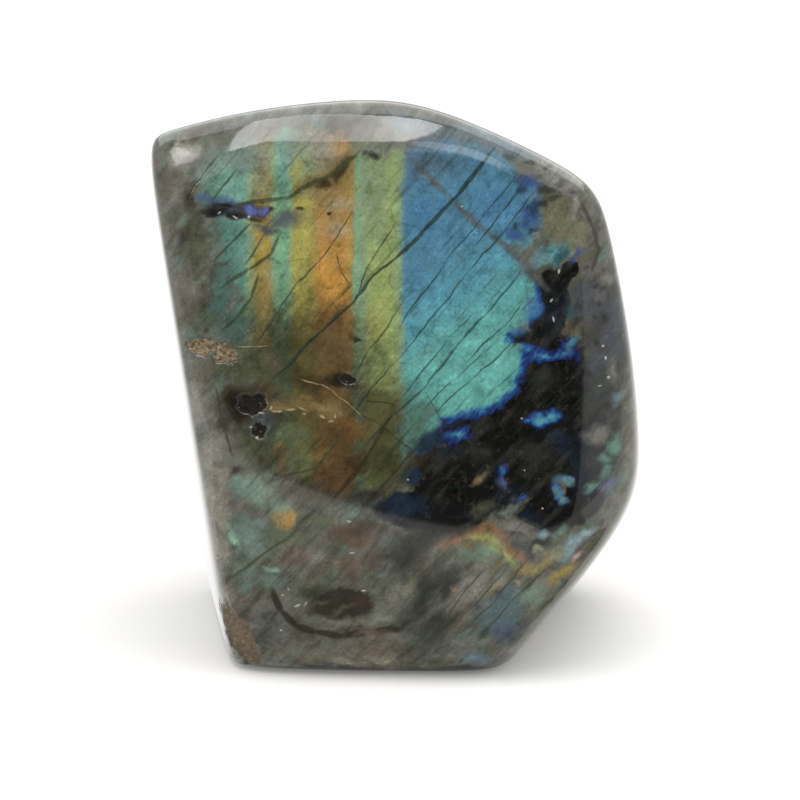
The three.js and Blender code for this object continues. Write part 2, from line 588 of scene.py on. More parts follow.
MARKINGS: tuple[Zone, ...] = (
    # The left-hand edge: tan and grey clouds, and a painted highlight at its top corner.
    # Its first patch is a painted highlight at the top-left corner; the second is pale feldspar.
    Zone(Tone.PALE_FELDSPAR, (Lens(-34.5, 88, 4.5, 3, tilt=30), Lens(-33, 48, 3, 6)), 0.8, 0.75),
    Zone(Tone.CLAY, (Lens(-36, 84, 3, 4), Lens(-35, 66, 2.4, 7), Lens(-32.4, 52.6, 2.4, 2.4)), 0.8, 0.6),
    Zone(Tone.MOSS_DARK, (Lens(-33, 73.5, 3, 9), Lens(-32.4, 62, 1.8, 4)), 0.7, 0.85),
    Zone(Tone.DARK_BROWN, (Lens(-34, 80.6, 2.2, 2.4), Lens(-34.6, 75, 1.2, 2)), 0.9, 0.75),
    # Painted highlight: a pale spot where the top-left corner catches the overhead light.
    Zone(Tone.CORNER_HIGHLIGHT, (Lens(-34.4, 88.6, 4.4, 2.4, tilt=25),), 0.9, 0.8),
    # The crown of the stacks: pale teal, grey and bronze.
    Zone(Tone.TEAL_PALE, (Lens(-27.5, 84, 7, 8), Lens(-18, 87, 2.2, 9)), 0.9, 0.9),
    Zone(Tone.TEAL_GREY, (Lens(-23.5, 87.6, 5.5, 4.6), Lens(-16, 90, 4, 4)), 0.8, 0.75),
    Zone(Tone.STRAW_PALE, (Lens(-22, 85, 2.6, 7),), 0.8, 0.8),
    Zone(Tone.LICHEN, (Lens(-13.5, 87, 5, 8), Lens(-3.5, 84, 4, 10)), 0.8, 0.8),
    Zone(Tone.BRONZE, (Lens(-10.4, 83, 5.2, 6),), 0.6, 0.85),
    Zone(Tone.BARK, (Lens(-8.8, 86.4, 4, 3, tilt=35),), 0.9, 0.8),
    Zone(Tone.TAN_GREY, (Lens(-11, 87.4, 5, 3.4),), 1.0, 0.5),
    Zone(Tone.BARK, (Seam(((-16.5, 81.8), (-11.5, 85.2), (-5.6, 90.5)), 1.5),), 0.9, 0.8),
    Zone(Tone.TAN_GREY, (Lens(-13, 90.5, 4.5, 3.4), Lens(-4, 92, 6, 2.6)), 0.9, 0.7),
    Zone(Tone.HAZE, (Lens(-9, 80.0, 5.4, 2.2), Lens(-10, 76.5, 4, 3)), 1.0, 0.7),
    # The stacks: brighter and duller stretches.
    Zone(Tone.TEAL_PALE, (Lens(-25.6, 73.8, 2.6, 3.4, tilt=-35),), 1.0, 0.8),
    Zone(Tone.TEAL_DARK, (Lens(-25.8, 60.5, 5.5, 5), Lens(-28.6, 65.5, 3, 6)), 0.7, 0.85),
    Zone(Tone.GOLD, (Lens(-22.0, 72.9, 3.6, 1.3, tilt=58),), 0.6, 0.95),
    Zone(Tone.MINT_BRIGHT, (Lens(-18.7, 72.6, 1.9, 5), Lens(-6.2, 67.5, 1.0, 4)), 0.9, 0.8),
    Zone(Tone.MOSS, (Lens(-19.5, 60.5, 3.4, 5, tilt=20), Lens(-23.5, 63.5, 1.6, 5, tilt=-30)), 1.0, 0.7),
    Zone(Tone.AMBER_GLOW, (Lens(-10.8, 67.5, 4.6, 8, tilt=20),), 1.0, 0.85),
    Zone(Tone.BRICK, (Lens(-9.5, 61.5, 5.5, 3.6, tilt=40),), 0.9, 0.6),
    Zone(Tone.SPRING_GLOW, (Lens(-3.4, 61.5, 3.4, 7, tilt=-10),), 1.0, 0.8),
    Zone(Tone.LICHEN, (Lens(-3.4, 77, 4, 7),), 1.0, 0.6),
    # Towards its foot the flash of the stacks dims into brown and olive.
    Zone(Tone.SHADE, (Lens(-15, 50, 20, 22), Lens(-5, 43.5, 14, 14), Lens(-10, 36.5, 9, 7)), 0.6, 0.84),
    Zone(Tone.DARK_BROWN, (Lens(-14.8, 51.6, 5.5, 2.6, tilt=-6), Lens(-19, 54.2, 3.5, 2.6)), 0.9, 0.7),
    Zone(Tone.OLIVE_SHADE, (Lens(-1.5, 37.2, 7, 5.4), Lens(-17, 57.4, 4, 2.8, tilt=45)), 0.9, 0.7),
    Zone(Tone.OCHRE_DULL, (Lens(-10.4, 56.2, 4.6, 5.6, tilt=20),), 0.9, 0.6),
    Zone(Tone.OLIVE_GOLD, (Lens(-3.6, 43, 3, 3),), 0.9, 0.6),
    Zone(Tone.OLIVE_SHADE, (Lens(-2, 40.5, 4.4, 8.5),), 1.1, 0.45),
    # The inclusion streak, with its blue upper edge.
    Zone(Tone.DARK_BROWN, (Lens(-9.4, 85.8, 3.6, 1.5, tilt=48), Lens(-11.4, 84, 1.6, 1.2)), 0.7, 0.85),
    Zone(Tone.SLATE, (Lens(-28.5, 80.6, 4.6, 1.1, tilt=-3), Lens(-31, 81.2, 1.8, 1.0)), 0.6, 0.85),
    Zone(Tone.MAUVE, (Lens(-18.0, 77.8, 4.6, 2.2, tilt=8), Lens(-21, 76.4, 4, 1.2, tilt=-8)), 0.8, 0.9),
    Zone(Tone.PLUM, (Lens(-25.8, 79.2, 7.0, 1.7, tilt=-4),), 0.4, 0.9),
    Zone(Tone.PEAT, (
        Lens(-29.2, 78.9, 2.6, 0.9), Lens(-26.2, 78.4, 3.0, 0.8), Lens(-22.8, 77.9, 2.4, 0.7),
        Lens(-27.8, 79.8, 1.8, 0.6), Lens(-20.7, 79.3, 0.8, 0.6), Lens(-16, 79.3, 1.1, 0.5),
        Lens(-10.8, 78.6, 0.8, 0.6), Lens(-4.0, 88.4, 2.2, 1.0, tilt=-12), Lens(-5.4, 88.7, 0.9, 0.7),
    ), 0.7, 0.85),
    Zone(Tone.IRIS, (Lens(-23.4, 79.4, 1.6, 1.1), Lens(-21.7, 79.4, 1.1, 0.8)), 0.8, 0.9),
    # The blue field: clearer and deeper spots, and the grey corner beyond it.
    Zone(Tone.AZURE_DULL, (Lens(4.5, 79, 5, 5), Lens(16.5, 80.5, 6, 6.5, tilt=45)), 1.0, 0.6),
    Zone(Tone.SHALE_BLUE, (Lens(6, 87, 9, 3.4), Lens(20, 84.5, 3, 2.4)), 1.0, 0.55),
    Zone(Tone.HAZE_BLUE, (Seam(((-1, 93.5), (8, 92.6), (15, 91), (22, 88)), 2.4),), 0.8, 0.8),
    Zone(Tone.INDIGO, (
        Lens(21.6, 78.2, 2.8, 4), Lens(19.2, 75.4, 2.8, 1.8), Lens(21.5, 83.5, 3, 2.4),
    ), 0.8, 0.9),
    Zone(Tone.MIDNIGHT, (
        Lens(22.6, 79.6, 1.6, 2.2, tilt=-20), Lens(20.2, 82.4, 1.2, 1.4),
        Lens(22.4, 75.6, 1.6, 0.8, tilt=30), Lens(19.6, 76.8, 1, 1.2),
    ), 0.8, 0.7),
    Zone(Tone.AZURE_DULL, (Lens(22.0, 63.5, 1.9, 4.5, tilt=-22), Lens(19.8, 59.8, 3, 1.3)), 0.9, 0.85),
    Zone(Tone.OLIVE_GREY, (Lens(26.6, 77.4, 3.6, 4.6), Lens(29, 75, 2.4, 3)), 0.5, 0.9),
    Zone(Tone.PALE_FELDSPAR, (
        Lens(27.5, 85, 8, 3.5, tilt=-32), Lens(28.6, 79.5, 1.2, 3, tilt=-15),
    ), 0.7, 0.75),
    Zone(Tone.CHARCOAL, (
        Lens(24.4, 82.4, 2.2, 1.0), Lens(26.6, 83.4, 1.3, 0.8), Lens(25.8, 81, 1.5, 0.7),
        Lens(28.4, 81.6, 1.0, 0.7), Lens(23.9, 80, 1.5, 0.8), Lens(23, 84.6, 1.1, 0.8),
        Lens(18.3, 87.8, 1.3, 0.9), Lens(21.4, 87, 1.4, 0.6), Lens(24.6, 86.2, 1.2, 0.6),
        Lens(32.6, 76.6, 0.8, 2.4, tilt=12),
    ), 0.6, 0.75),
    Zone(Tone.HAZE_BLUE, (
        Lens(23.4, 71.4, 3.4, 1.3, tilt=35), Lens(20.8, 69.3, 1.6, 1.0, tilt=30),
    ), 0.8, 0.7),
    Zone(Tone.INDIGO, (Lens(28.8, 71.6, 1.9, 0.8, tilt=52), Lens(29.8, 73, 1.0, 1.2)), 0.8, 0.8),
    Zone(Tone.DEEP_TEAL, (Lens(26.8, 72.2, 2.8, 1.1, tilt=62), Lens(28.6, 62.5, 2, 1.6)), 0.7, 0.85),
    Zone(Tone.TEAL_DARK, (Lens(28.2, 56.9, 2.2, 1.0, tilt=55), Lens(24.4, 72.6, 1.6, 1)), 0.9, 0.8),
    Zone(Tone.MAUVE_BLUE, (
        Seam(((2, 88.2), (9, 80.9), (15, 76), (21, 70.4), (24.5, 67)), 1.0),
    ), 0.8, 0.85, ragged=False),
    Zone(Tone.MINT_DARK, (Lens(3.0, 43.5, 3.2, 5, tilt=-38), Lens(5, 46.5, 2, 3.4, tilt=-50)), 0.9, 0.8),
    Zone(Tone.MIDNIGHT, (Lens(5, 41.6, 4.2, 2.2, tilt=40), Lens(2.4, 36, 2.8, 2.4)), 0.6, 0.95),
    # The right-hand edge: grey shale with blue drifts and dark spots.
    Zone(Tone.SHALE, (Lens(34, 55, 5, 18), Lens(34, 40, 4.4, 9)), 0.5, 0.9),
    Zone(Tone.SHALE_BLUE, (Lens(31, 65, 4.4, 5.6), Lens(35.5, 60, 3, 7), Lens(33, 54, 2.4, 3)), 0.7, 0.8),
    Zone(Tone.SHALE_PALE, (
        Lens(32, 69.4, 3, 1.6), Lens(33.2, 65.6, 1.8, 2.2), Lens(32, 42.4, 2.6, 2),
    ), 0.8, 0.7),
    Zone(Tone.CHARCOAL, (
        Lens(32, 47, 3, 3.4), Lens(33.6, 52.4, 1.6, 2.4), Lens(31.4, 58.8, 1.8, 2),
    ), 0.8, 0.8),
    Zone(Tone.STONE_PALE, (
        Lens(35.4, 53, 1.5, 3.4), Lens(33.4, 42.8, 2.4, 2.4), Lens(34.4, 68, 2.4, 1.4),
    ), 0.9, 0.6),
    Zone(Tone.SOOT, (
        Lens(32.3, 67, 0.9, 0.7), Lens(33.6, 66.4, 0.8, 0.7), Lens(33.2, 64.2, 0.7, 1.0),
        Lens(34.2, 62.2, 1.7, 1.3), Lens(32.2, 61.8, 0.8, 0.6), Lens(30.6, 69.8, 1.0, 0.8),
        Lens(32.6, 57.6, 0.8, 1.2), Lens(34.2, 47.4, 1.2, 0.8), Lens(31.4, 52, 0.8, 1.0),
    ), 0.9, 0.6),
    # The dark shoulder: faint greenish and brown drifts, and small flashes.
    Zone(Tone.CHARCOAL, (Lens(13, 40, 4, 3), Lens(24, 38, 5, 3, tilt=30), Lens(24, 52, 4, 3)), 1.0, 0.5),
    Zone(Tone.RING_TEAL, (
        Lens(27, 35, 2.2, 1.1, tilt=-25), Lens(25.9, 33.4, 0.9, 1.9), Lens(27.3, 31.8, 1.5, 0.8),
    ), 0.8, 0.8),
    Zone(Tone.ALMOND, (Lens(13.8, 35.2, 2.4, 1.0, tilt=46), Lens(27.2, 33.9, 1.0, 1.4)), 1.0, 0.55),
    Zone(Tone.INDIGO, (Lens(17.4, 37.2, 1.8, 1.2, tilt=60), Lens(17, 34.9, 1.2, 1.4)), 1.0, 0.5),
    Zone(Tone.LILAC, (Lens(17.1, 35, 0.9, 1.2), Lens(34.6, 34.4, 2.6, 1.3, tilt=35)), 0.9, 0.6),
    Zone(Tone.TEAL_PALE, (Lens(28.3, 34.7, 1.4, 1.0, tilt=-30), Lens(27.0, 32.4, 0.8, 1.4)), 1.0, 0.6),
    Zone(Tone.SOOT, (Lens(28.2, 33.4, 0.9, 0.7),), 0.4, 0.9),
    Zone(Tone.HAZE_BLUE, (Lens(36.4, 48.6, 2.6, 1.4, tilt=38),), 0.9, 0.85),
    Zone(Tone.TEAL_PALE, (
        Lens(35.8, 41.2, 1.6, 2.6, tilt=-15, y=-28), Lens(34.4, 38.4, 1.6, 2.2, tilt=-30, y=-28),
        Lens(34.6, 36.4, 2.4, 1.2, tilt=35, y=-28), Lens(32.2, 34, 2.6, 1.1, tilt=38, y=-28),
    ), 0.8, 0.6),
    # Round the vugs at the left: dark olive, brown and golden crust.
    Zone(Tone.MOSS_DARK, (Lens(-23.4, 54.6, 7.5, 4.6, tilt=-6), Lens(-23, 41.6, 5.5, 5.5)), 0.6, 0.9),
    Zone(Tone.OLIVE_FELDSPAR, (Lens(-24.4, 51.4, 3.4, 1.6), Lens(-28.4, 54, 1.6, 2)), 0.7, 0.8),
    Zone(Tone.DARK_BROWN, (Lens(-26, 47.4, 5.4, 4.2), Lens(-28.6, 44.4, 1.8, 3)), 0.6, 0.9),
    Zone(Tone.SLATE_DARK, (Lens(-22, 44.4, 4, 3.4, tilt=-20),), 0.7, 0.85),
    Zone(Tone.STONE_GREY, (Lens(-28.6, 41, 2.4, 3.4), Lens(-26.6, 38.6, 3.4, 1.8, tilt=-20)), 0.7, 0.8),
    Zone(Tone.UMBER_GOLD, (
        Lens(-15.2, 48.2, 4.6, 2.4, tilt=-6), Lens(-11, 46.6, 4.2, 2.6, tilt=-25),
        Lens(-19.4, 47.4, 2.6, 1.6),
    ), 0.8, 0.8),
    Zone(Tone.ALMOND, (Lens(-12.6, 47.4, 2.2, 1.1, tilt=-20), Lens(-18.8, 46.8, 2.2, 0.5)), 0.8, 0.7),
    Zone(Tone.RUST_FLASH, (Lens(-7.2, 43.6, 3.6, 2.6),), 0.8, 0.85),
    Zone(Tone.MOSS_GREEN, (Lens(-17, 42.8, 4.4, 3.2, tilt=-10), Lens(-15.8, 38.2, 3.4, 3.6)), 0.7, 0.85),
    Zone(Tone.OCHRE_DULL, (Lens(-18.6, 38.4, 1.5, 3.4), Lens(-12, 37.4, 1.3, 3, tilt=10)), 0.9, 0.6),
    Zone(Tone.COCOA, (Lens(-10, 41, 4.4, 2.6, tilt=50), Lens(-9.6, 36.4, 5, 4)), 0.7, 0.8),
    Zone(Tone.UMBER_GOLD, (
        Lens(-13, 39.4, 3.4, 1.4, tilt=20), Lens(-19.4, 40.6, 2.4, 1.2, tilt=48),
    ), 1.0, 0.6),
    Zone(Tone.DARK_OLIVE, (
        Lens(-20.6, 38, 5, 1.1, tilt=48), Lens(-14.4, 35.4, 4.6, 1.1, tilt=48),
    ), 1.0, 0.7),
    Zone(Tone.DARK_OLIVE, (Lens(-0.8, 40, 6, 1.3, tilt=49), Lens(2, 37.4, 3, 1.2, tilt=49)), 1.0, 0.75),
    Zone(Tone.PLUM_BROWN, (Lens(-6.4, 38.2, 3.2, 3.6, tilt=-35),), 0.9, 0.85),
    Zone(Tone.BROWN_FELDSPAR, (Lens(-20.2, 55, 2, 3), Lens(-7.6, 50.4, 3.4, 2)), 0.9, 0.7),
    Zone(Tone.DARK_BROWN, (Lens(-9, 51.6, 4.4, 1.7, tilt=-8), Lens(-25, 47.8, 3.8, 2.6)), 0.6, 0.9),
    Zone(Tone.PEAT, (
        Lens(-8.6, 51.8, 2.6, 1.2, tilt=-8), Lens(-25.4, 47.8, 2.2, 1.8), Lens(-4.6, 32.8, 3.2, 1.8),
        Lens(-6.8, 58.2, 1.2, 0.6, tilt=-25), Lens(-26.4, 36.6, 1.4, 1.6),
    ), 0.7, 0.85),
    Zone(Tone.MIDNIGHT, (Lens(1, 31.2, 5.4, 2.8),), 0.9, 0.8),
    # The lower front: cloudy domains that barely flash.
    Zone(Tone.TAN_GREY, (Lens(-30.5, 29, 4, 19, tilt=-4), Lens(-29.5, 10, 3, 9, tilt=-12)), 0.6, 0.85),
    Zone(Tone.MINT_GREY, (Lens(-22.4, 33.4, 5.6, 3.2, tilt=-35), Lens(-19.6, 30.4, 3.2, 2.4)), 0.8, 0.8),
    Zone(Tone.OLIVE_GREY, (Lens(-16.4, 29.8, 3, 2, tilt=-20),), 0.9, 0.75),
    Zone(Tone.TEAL_GREY, (Lens(-25.6, 34, 3, 2.6), Lens(-24.6, 25.6, 6, 4.6, tilt=-35)), 0.6, 0.8),
    Zone(Tone.TEAL_GREY, (Lens(-21, 18, 5.4, 3.4, tilt=-30), Lens(-25.4, 19.4, 3.6, 4.4)), 0.9, 0.6),
    Zone(Tone.MINT_PALE, (
        Lens(-27.2, 25.4, 3, 1.1, tilt=-60), Lens(-20.3, 19.7, 2.6, 0.9, tilt=-18),
    ), 1.0, 0.6),
    Zone(Tone.MOSS_GREEN, (
        Lens(-17.4, 25.8, 6.5, 2.2, tilt=-12), Lens(-12.6, 28.4, 5, 1.8, tilt=-12),
    ), 0.8, 0.75),
    Zone(Tone.MOSS, (Lens(-20.6, 24.2, 2, 3, tilt=40),), 0.9, 0.7),
    Zone(Tone.SHALE_PALE, (
        Lens(-1.5, 27.8, 7.5, 1.4, tilt=-20), Lens(-14, 31.4, 6, 1.4, tilt=-14),
    ), 1.0, 0.35),
    Zone(Tone.CHARCOAL, (Lens(-5.4, 31.8, 5, 3, tilt=-20), Lens(4, 25.4, 7, 3.4, tilt=25)), 0.9, 0.85),
    Zone(Tone.GOLD_DULL, (Lens(-18.6, 28.7, 2.8, 2.4),), 0.6, 0.9),
    Zone(Tone.AMBER, (Lens(-17.9, 28.4, 1.8, 1.7),), 0.7, 0.6),
    Zone(Tone.STONE_PALE, (Lens(-13.6, 22.4, 3.6, 2.2, tilt=20),), 0.9, 0.6),
    Zone(Tone.COCOA, (Lens(-7.6, 26.2, 5.4, 2.8, tilt=-8),), 0.7, 0.9),
    Zone(Tone.COCOA_DARK, (Lens(-3, 22, 5, 3.6, tilt=20), Lens(-5, 27.6, 4, 1.4, tilt=-15)), 0.9, 0.7),
    Zone(Tone.ROSE_BROWN, (
        Lens(-6.6, 25.2, 3.4, 1.4, tilt=-8), Lens(-8.4, 21, 4, 1.8), Lens(-17, 22, 3, 2.4),
    ), 0.9, 0.75),
    Zone(Tone.OLIVE_FELDSPAR, (Lens(-12, 18.6, 6, 3, tilt=40), Lens(-1, 18, 5, 2.2, tilt=20)), 0.9, 0.7),
    Zone(Tone.NIGHT_OLIVE, (
        Lens(1.2, 22.4, 5.2, 4.6), Lens(4.6, 16, 9, 3.4, tilt=62), Lens(6, 10.6, 5.4, 4, tilt=30),
        Lens(8.4, 17.6, 5, 2.4, tilt=55),
    ), 0.8, 0.85),
    Zone(Tone.STONE_GREY, (Lens(-10, 14, 12, 5), Lens(0.4, 15, 3.6, 3.4, tilt=30)), 0.5, 0.75),
    Zone(Tone.STONE_PALE, (
        Lens(0, 15.6, 4.2, 1.8, tilt=52), Lens(-8, 10.6, 8, 0.9), Lens(-2, 11.6, 3, 1),
    ), 1.0, 0.55),
    Zone(Tone.DARK_OLIVE, (Lens(-14, 16.4, 4, 1.8, tilt=10), Lens(-13, 12.4, 4, 1.6, tilt=-12)), 0.8, 0.85),
    Zone(Tone.DARK_BROWN, (Lens(-9, 14, 7, 3.8, tilt=3),), 0.4, 1.0),
    Zone(Tone.COCOA_DARK, (Lens(-6.0, 14.2, 2.8, 2.2, tilt=15),), 0.8, 0.7),
    Zone(Tone.OLIVE_FELDSPAR, (Lens(-9, 12.6, 3.6, 0.7, tilt=28), Lens(-12.6, 14.2, 1.6, 0.8)), 0.9, 0.7),
    Zone(Tone.DARK_BROWN, (
        Seam((
            (-20.4, 15.6), (-19.4, 12.4), (-16.8, 9.9), (-13.6, 8.8), (-9, 8.4), (-4, 8.8), (0.4, 9.8),
        ), 1.0),
    ), 0.6, 0.95, ragged=False),
    Zone(Tone.COCOA, (Lens(-4.6, 8.9, 5, 0.9, tilt=6),), 0.9, 0.8),
    Zone(Tone.NIGHT_OLIVE, (Seam(((0.4, 9.8), (3.2, 12.6), (5.4, 16.4), (8.4, 20.6)), 1.1),), 0.9, 0.7),
    Zone(Tone.SLATE_DARK, (Lens(-21.5, 9, 4.4, 5.5), Lens(6, 7, 7, 5)), 1.0, 0.5),
    Zone(Tone.ROSE_GREY, (Lens(-4.6, 5, 8, 3.6), Lens(-3.4, 8.6, 4, 1.2)), 0.8, 0.75),
    Zone(Tone.OLIVE_GREY, (Lens(-14, 4.6, 5, 2.4), Lens(2, 17.6, 2.4, 1.6, tilt=30)), 0.9, 0.6),
    Zone(Tone.TAN_GREY, (
        Lens(-8.6, 3, 4, 1.4), Lens(-1.8, 3.4, 3.4, 1.8), Lens(-24, 4.4, 2.4, 2),
    ), 0.8, 0.8),
    Zone(Tone.CLAY, (Lens(-26.0, 6.5, 9, 3.2, tilt=-66),), 0.6, 0.85),
    # Painted shade: a dark band along the foot, where the stone turns under onto the floor.
    Zone(Tone.FOOT_SHADE, (Seam(((-24, 0.6), (0, 0.6), (24, 0.4)), 2.0),), 0.5, 0.85),
    # The lower right, where the flash turns through every hue at the dark shoulder's edge.
    Zone(Tone.SOOT, (
        Lens(8.6, 28, 6, 4.4), Lens(23.5, 24.8, 3.4, 1.8, tilt=40), Lens(28, 28.6, 5, 2.4, tilt=35),
    ), 0.7, 0.85),
    Zone(Tone.CHARCOAL, (Lens(8.4, 19.6, 3.4, 3.4, tilt=50), Lens(20, 24.4, 4, 1.8, tilt=-30)), 0.8, 0.8),
    Zone(Tone.SLATE_BLUE_GREY, (Lens(17.5, 13.6, 7.5, 5, tilt=42),), 0.7, 0.8),
    Zone(Tone.HAZE_BLUE, (Lens(13.5, 3.8, 4.4, 2.4),), 0.7, 0.85),
    Zone(Tone.INDIGO_GREY, (Lens(18.2, 9.5, 4.4, 4, tilt=45),), 0.9, 0.8),
    Zone(Tone.MINT_GREY, (Lens(22.6, 15.8, 3.8, 2.8, tilt=45),), 0.8, 0.7),
    Zone(Tone.STONE_PALE, (Lens(12, 17.4, 6.5, 3, tilt=52), Lens(20.4, 27.3, 4.2, 2.2, tilt=-12)), 0.7, 0.7),
    Zone(Tone.CHARCOAL, (
        Lens(17.4, 28.6, 2.4, 1.0), Lens(22, 28.4, 2, 0.8, tilt=-30), Lens(20, 26, 3, 0.5),
    ), 0.8, 0.7),
    Zone(Tone.OLIVE_GREY, (Lens(14.6, 30.4, 3.4, 1.8, tilt=20),), 1.0, 0.55),
    Zone(Tone.OLIVE_SHADE, (Lens(14.4, 26.4, 5, 2.2, tilt=20),), 0.8, 0.75),
    Zone(Tone.MINT_GREY, (Lens(13.8, 23.2, 4.4, 2.4, tilt=12),), 0.9, 0.7),
    Zone(Tone.GOLD_DULL, (Lens(21.6, 20.6, 3.2, 2), Lens(24.8, 21.6, 3, 1.6, tilt=55)), 1.0, 0.8),
    Zone(Tone.EMBER, (Seam(((8, 24.6), (12, 26.4), (15.6, 27.6), (18.4, 25.2), (21, 22)), 1.3),), 1.1, 0.7),
    Zone(Tone.STRAW, (Seam(((11.6, 25.4), (15, 26), (17.4, 24.4), (19.4, 21.6)), 1.2),), 1.1, 0.75),
    Zone(Tone.SPRING, (Lens(15.6, 24, 2.6, 1.6, tilt=-30),), 1.1, 0.7),
    Zone(Tone.BARK, (Lens(11.6, 24.2, 1.6, 1.0), Lens(16.4, 21.2, 3, 0.9, tilt=45)), 0.8, 0.75),
    Zone(Tone.ALMOND, (Lens(27.6, 19.6, 3.6, 1.8, tilt=42), Lens(26.2, 18.2, 2, 1.4, tilt=30)), 0.7, 0.85),
    Zone(Tone.GOLD, (Lens(27.4, 19.6, 3.0, 1.0, tilt=42), Lens(23, 20.4, 1.8, 0.8, tilt=50)), 1.0, 0.75),
    Zone(Tone.ICE, (
        Lens(28.6, 24.2, 4.2, 1.8, tilt=52), Lens(31, 26, 3.8, 1.4, tilt=28), Lens(24.2, 26.2, 1.6, 1.2),
    ), 0.8, 0.7),
    Zone(Tone.TEAL_GREY, (Lens(27, 26.4, 2.4, 1.2, tilt=35),), 0.8, 0.75),
    Zone(Tone.STRAW_PALE, (Lens(26.2, 23.4, 1.4, 2.4, tilt=-20), Lens(23.2, 23.6, 1.4, 1)), 0.8, 0.85),
    Zone(Tone.ROSE, (Lens(29.8, 22.2, 1.6, 1.0, tilt=30),), 0.9, 0.75),
    Zone(Tone.TAN_CRUST, (
        Lens(16.4, 17.3, 3.2, 1.0, tilt=32), Lens(9.6, 17.4, 1.2, 0.9), Lens(20, 18.2, 1.2, 0.7),
    ), 0.9, 0.6),
    # Cleavage seams, from the widest to the hairlines.
    Zone(Tone.SEAM_DARK, (
        Seam(((15.2, 88.5), (9.5, 81.5), (4, 76), (0, 71.6)), 0.46),
        Seam(((0, 71.6), (-3.8, 68.4), (-7.2, 64.4), (-11.4, 60.6), (-19.8, 52.2)), 0.32),
    ), 0.4, 0.85, ragged=False),
    Zone(Tone.SEAM_DARK, (
        Seam(((-7.8, 78.5), (-10.6, 74), (-12.6, 71), (-16.2, 67.4), (-19.6, 62.4), (-23, 57.6)), 0.24),
        Seam(((19.5, 85.2), (14.6, 79.2), (8, 71), (0.3, 60.4)), 0.2),
        Seam(((20.8, 84), (17, 79), (13, 73.8)), 0.26),
        Seam(((22.6, 82.4), (18, 76.6), (12, 69.6), (0, 55), (-8, 45.5)), 0.24),
        Seam(((20.4, 69.8), (14.6, 62.6), (10, 57.5), (5, 50.8), (0, 46.4), (-5, 41)), 0.3),
        Seam(((20.6, 64.4), (17.4, 60.6), (12, 55.4)), 0.2),
        Seam(((19.0, 58.0), (12, 51.8), (6.5, 46.6)), 0.2), Seam(((15, 57), (9.5, 52), (4.4, 47)), 0.14),
        Seam(((12.6, 62.6), (8.6, 58.4), (0.4, 48.4)), 0.14), Seam(((20, 54), (16.4, 50.6)), 0.13),
        Seam(((4.6, 49.6), (7.4, 45.4)), 0.13),
    ), 0.6, 0.72, ragged=False),
    Zone(Tone.SEAM_OLIVE, (
        Seam(((-24, 77), (-26.8, 74.6), (-29.6, 71.4)), 0.3),
        Seam(((-19.2, 74.8), (-20.4, 72.4), (-24, 69.8), (-28.4, 67)), 0.42),
        Seam(((-21.5, 75.6), (-24.6, 70.6)), 0.22),
        Seam(((-22.6, 68.6), (-23.8, 65.2), (-25.8, 62), (-27.8, 60.4)), 0.4),
        Seam(((-26, 85.6), (-29.6, 81.2)), 0.25), Seam(((-29.2, 88), (-31, 85.4), (-34.2, 81)), 0.28),
        Seam(((-25, 80.6), (-17.8, 81.2), (-12.5, 84.2), (-6.4, 88.4)), 0.55),
        Seam(((-0.6, 76.6), (-4.2, 71), (-6.2, 66)), 0.2), Seam(((0.4, 63.4), (-4.6, 56.6), (-7, 52)), 0.2),
        Seam(((-13.4, 30.4), (-17, 26.4), (-20, 24), (-27.6, 17.6)), 0.4),
        Seam(((-9, 42.6), (-13, 37.4), (-20.6, 34.8)), 0.24), Seam(((-19.8, 44.4), (-24.6, 37.6)), 0.3),
        Seam(((3, 37.6), (-2, 31.8)), 0.3), Seam(((21, 21.5), (16, 15), (12, 11)), 0.22),
        Seam(((25, 20.5), (19, 15), (14, 9)), 0.24), Seam(((14, 20.4), (10.5, 15.6), (7, 9.6)), 0.26),
        Seam(((17.5, 20), (13, 14.4)), 0.2),
    ), 0.5, 0.75, ragged=False),
    Zone(Tone.SEAM_BROWN, (
        Seam(((-1, 45.5), (-4.5, 39.6), (-10, 32.6)), 0.5), Seam(((4, 41.5), (-1, 36), (-5, 31)), 0.3),
        Seam(((-9.8, 72.4), (-8.8, 69.4), (-7.4, 67.4), (-9.4, 64.8)), 0.14),
        Seam(((30, 80), (32, 76.4), (32.8, 73), (31.8, 70)), 0.5),
        Seam(((-6.2, 46), (-3.6, 44.8), (0, 42.4), (2.6, 40.6)), 0.16),
        Seam(((-29.6, 50), (-28.4, 44), (-27.2, 39.6)), 0.3), Seam(((-5.6, 48.6), (0, 47.8)), 0.16),
    ), 0.5, 0.75, ragged=False),
    Zone(Tone.CREAM_CRUST, (
        Seam(((-15.6, 52), (-12.6, 51.2), (-10.6, 50.3), (-9.4, 49), (-7.4, 47.2), (-6, 45.8)), 0.13),
        Seam(((-26, 57.3), (-23.4, 57.1), (-20.8, 57.5)), 0.13),
        Seam(((-31.4, 84.4), (-32.6, 83), (-33.4, 81.8)), 0.14),
    ), 0.7, 0.55, ragged=False),
    # Painted highlights: bright glints where cleavage flecks catch the light.
    Zone(Tone.GLINT, (
        Lens(25.3, 64.6, 0.5, 0.2, tilt=50), Lens(25.4, 61.6, 0.2, 0.5, tilt=10),
        Lens(-28.8, 78.7, 0.4, 0.2, tilt=30), Lens(-26.2, 78.2, 0.5, 0.2, tilt=-20),
        Lens(-24, 78.4, 0.3, 0.3), Lens(26.5, 69.6, 0.25, 0.5), Lens(20.5, 45.3, 0.2, 0.2),
        Lens(-7.6, 28.4, 0.5, 0.22, tilt=-8), Lens(-7.4, 23.2, 0.6, 0.15), Lens(-5.6, 16.4, 0.6, 0.15),
        Lens(-17.8, 16.2, 0.4, 0.2, tilt=-40), Lens(-16.4, 13.6, 0.7, 0.2, tilt=22),
        Lens(-15, 14, 0.5, 0.16, tilt=50), Lens(-18.8, 15.2, 0.4, 0.16), Lens(-19.4, 9, 0.3, 0.2),
